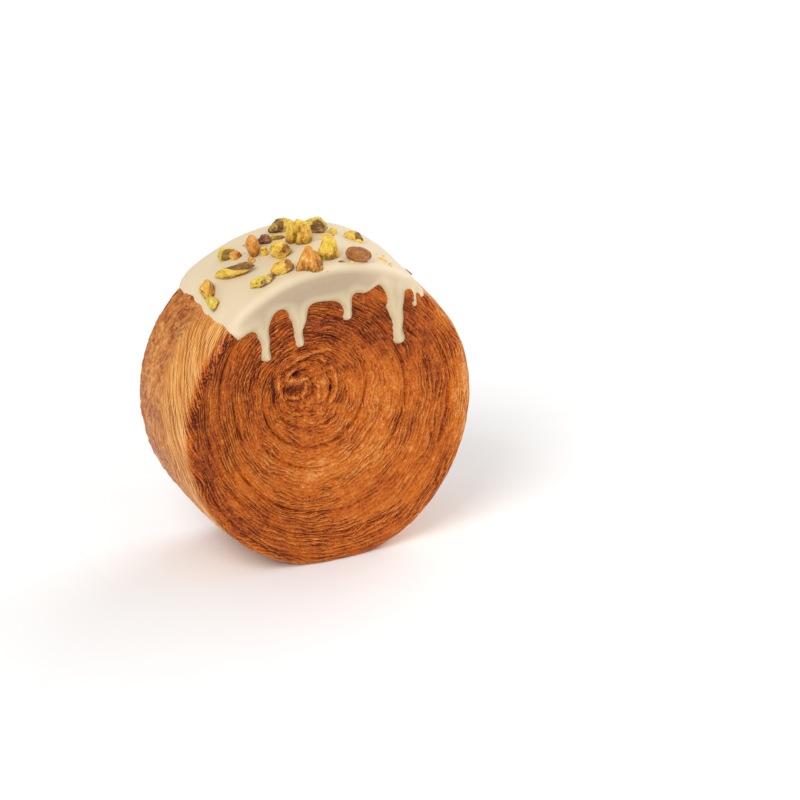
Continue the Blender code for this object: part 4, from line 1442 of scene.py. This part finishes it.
def make_crumbs(icing_obj, dough, icing, crumbs, material):
    """Crumbs on the icing round the nuts, as one piece."""
    obj = copy_of(icing_obj, "pistachio_crumbs", material)
    places = np.array([vert.co for vert in obj.data.vertices])
    near = np.zeros(len(places))
    for nut in (*LARGE_NUTS, *SMALL_NUTS):
        spot, _ = icing_spot(dough, icing, nut[0], nut[1] * MM)
        near += hump(np.linalg.norm(places - np.array(spot), axis=1), 0, crumbs.reach)
    raised = places[:, 2] > dough.middle_z + 0.6 * dough.radius
    store(obj.data, "near_nuts", np.minimum(near, 1.0) * raised)
    return grow_crumbs(obj, crumbs, material)


def finish_piece(obj, slot, *nodes):
    """Attaches a piece to the body that it rides on, and hides the solids that it stands for. Its slot is
    not used.
    """
    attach(obj, BODY)
    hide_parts(*nodes)


class CROISSANT_OT_dough(bpy.types.Operator):
    """Makes the rolled dough in place of the solid pastry"""

    bl_idname = "croissant.dough"
    bl_label = "Rolled Dough"

    def execute(self, context):
        dough = context.scene.croissant_dough
        finish_piece(make_dough(dough, crust_material(dough)), "crust", "pastry")
        return {"FINISHED"}


class CROISSANT_OT_icing(bpy.types.Operator):
    """Pours the icing in place of the solid coat"""

    bl_idname = "croissant.icing"
    bl_label = "Icing"

    def execute(self, context):
        icing = context.scene.croissant_icing
        obj = make_icing(context.scene.croissant_dough, icing, icing_material(icing))
        finish_piece(obj, "icing", "icing")
        return {"FINISHED"}


class CROISSANT_OT_nuts(bpy.types.Operator):
    """Makes the chopped pistachios, large ones one by one and small ones as one piece"""

    bl_idname = "croissant.nuts"
    bl_label = "Chopped Pistachios"

    def execute(self, context):
        scene = context.scene
        material = nut_material(scene.croissant_nuts)
        draws = random.Random(CHOP_SEED), random.Random(SHAVE_SEED)
        for index, obj in enumerate(make_nuts(scene, material, draws)):
            finish_piece(obj, "pistachio", f"nut_{index + 1:02d}")
        finish_piece(make_small_nuts(scene, material, draws), "pistachio", "icing")
        return {"FINISHED"}


class CROISSANT_OT_flakes(bpy.types.Operator):
    """Scatters torn flakes of crust over the dough"""

    bl_idname = "croissant.flakes"
    bl_label = "Crust Flakes"

    def execute(self, context):
        scene = context.scene
        material = flake_material(scene.croissant_dough)
        obj = make_flakes(bpy.data.objects["dough"], scene.croissant_flakes, material)
        finish_piece(obj, "crust", "pastry")
        return {"FINISHED"}


class CROISSANT_OT_crumbs(bpy.types.Operator):
    """Scatters fine crumbs of nut over the icing"""

    bl_idname = "croissant.crumbs"
    bl_label = "Nut Crumbs"

    def execute(self, context):
        scene = context.scene
        obj = make_crumbs(
            bpy.data.objects["icing_coat"],
            scene.croissant_dough,
            scene.croissant_icing,
            scene.croissant_crumbs,
            bpy.data.materials["chopped_pistachio"],
        )
        finish_piece(obj, "pistachio", "icing")
        return {"FINISHED"}


class CROISSANT_OT_stage(bpy.types.Operator):
    """Sets up the floor, the soft lights and the camera"""

    bl_idname = "croissant.stage"
    bl_label = "Stage"

    def execute(self, context):
        scene = context.scene
        stage = scene.croissant_stage
        middle = Vector((0, 0, scene.croissant_dough.middle_z))
        make_floor(stage)
        make_sky(scene, stage)
        for name, (place, size) in LIGHTS.items():
            make_light(name, Vector(place), middle, getattr(stage, name), size)
        make_camera(scene, stage, middle)
        scene.view_settings.view_transform = "Standard"
        return {"FINISHED"}


def make_floor(stage):
    """A plain pale floor."""
    material, shader, at = new_material("pale_floor", {"Roughness": 0.9, "Specular IOR Level": 0.1})
    paint = blend(stage.floor, stage.floor_light, noise(place_of(at), 40))
    at.feed(shader.inputs["Base Color"], paint)
    mesh = bmesh.new()
    bmesh.ops.create_grid(mesh, x_segments=8, y_segments=8, size=stage.floor_size)
    data = bpy.data.meshes.new("floor")
    mesh.to_mesh(data)
    mesh.free()
    data.materials.append(material)
    obj = linked("floor", data)


def make_sky(scene, stage):
    """Even white light from all round."""
    world = bpy.data.worlds.new("studio")
    world.use_nodes = True
    sky = world.node_tree.nodes["Background"]
    sky.inputs["Color"].default_value = (1, 1, 1, 1)
    sky.inputs["Strength"].default_value = stage.sky
    scene.world = world


def make_light(name, place, aim, power, size):
    """A large square light that faces the croissant."""
    lamp = bpy.data.lights.new(name, "AREA")
    lamp.energy = power
    lamp.size = size
    obj = linked(name, lamp)
    obj.location = place
    obj.rotation_euler = (aim - place).to_track_quat("-Z", "Y").to_euler()


def make_camera(scene, stage, middle):
    """The camera at the photograph's angle, with the croissant left of the middle."""
    level = math.cos(stage.elevation)
    side, ahead = math.sin(stage.azimuth), math.cos(stage.azimuth)
    back = Vector((side * level, -ahead * level, math.sin(stage.elevation)))
    right = Vector((ahead, side, 0))
    lens = bpy.data.cameras.new("camera")
    lens.lens = stage.lens
    lens.sensor_width = 36
    lens.clip_end = 20
    camera = linked("camera", lens)
    camera.location = middle + back * stage.distance
    aim = middle + right * stage.aim_right + back.cross(right) * stage.aim_up
    camera.rotation_euler = (aim - camera.location).to_track_quat("-Z", "Y").to_euler()
    scene.camera = camera


STEPS = (
    CROISSANT_OT_dough,
    CROISSANT_OT_flakes,
    CROISSANT_OT_icing,
    CROISSANT_OT_nuts,
    CROISSANT_OT_crumbs,
    CROISSANT_OT_stage,
)
SETTINGS = {
    "croissant_dough": DoughSettings,
    "croissant_flakes": FlakeSettings,
    "croissant_icing": IcingSettings,
    "croissant_nuts": NutSettings,
    "croissant_crumbs": CrumbSettings,
    "croissant_stage": StageSettings,
}


class CROISSANT_PT_panel(bpy.types.Panel):
    """Lists the croissant's pieces and the stage"""

    bl_idname = "CROISSANT_PT_panel"
    bl_label = "Pistachio Swirl Croissant"
    bl_space_type = "VIEW_3D"
    bl_region_type = "UI"
    bl_category = "Croissant"

    def draw(self, context):
        for step, key in zip(STEPS, SETTINGS):
            box = self.layout.box()
            box.operator(step.bl_idname)
            settings = getattr(context.scene, key)
            for name in settings.__annotations__:
                box.prop(settings, name)


def register():
    for cls in (*SETTINGS.values(), *STEPS, CROISSANT_PT_panel):
        bpy.utils.register_class(cls)
    for key, cls in SETTINGS.items():
        setattr(bpy.types.Scene, key, bpy.props.PointerProperty(type=cls))


def unregister():
    for key in SETTINGS:
        delattr(bpy.types.Scene, key)
    for cls in reversed((*SETTINGS.values(), *STEPS, CROISSANT_PT_panel)):
        bpy.utils.unregister_class(cls)


def main():
    register()
    bpy.ops.croissant.dough()
    bpy.ops.croissant.flakes()
    bpy.ops.croissant.icing()
    bpy.ops.croissant.nuts()
    bpy.ops.croissant.crumbs()
    bpy.ops.croissant.stage()


if __name__ == "__main__":
    main()
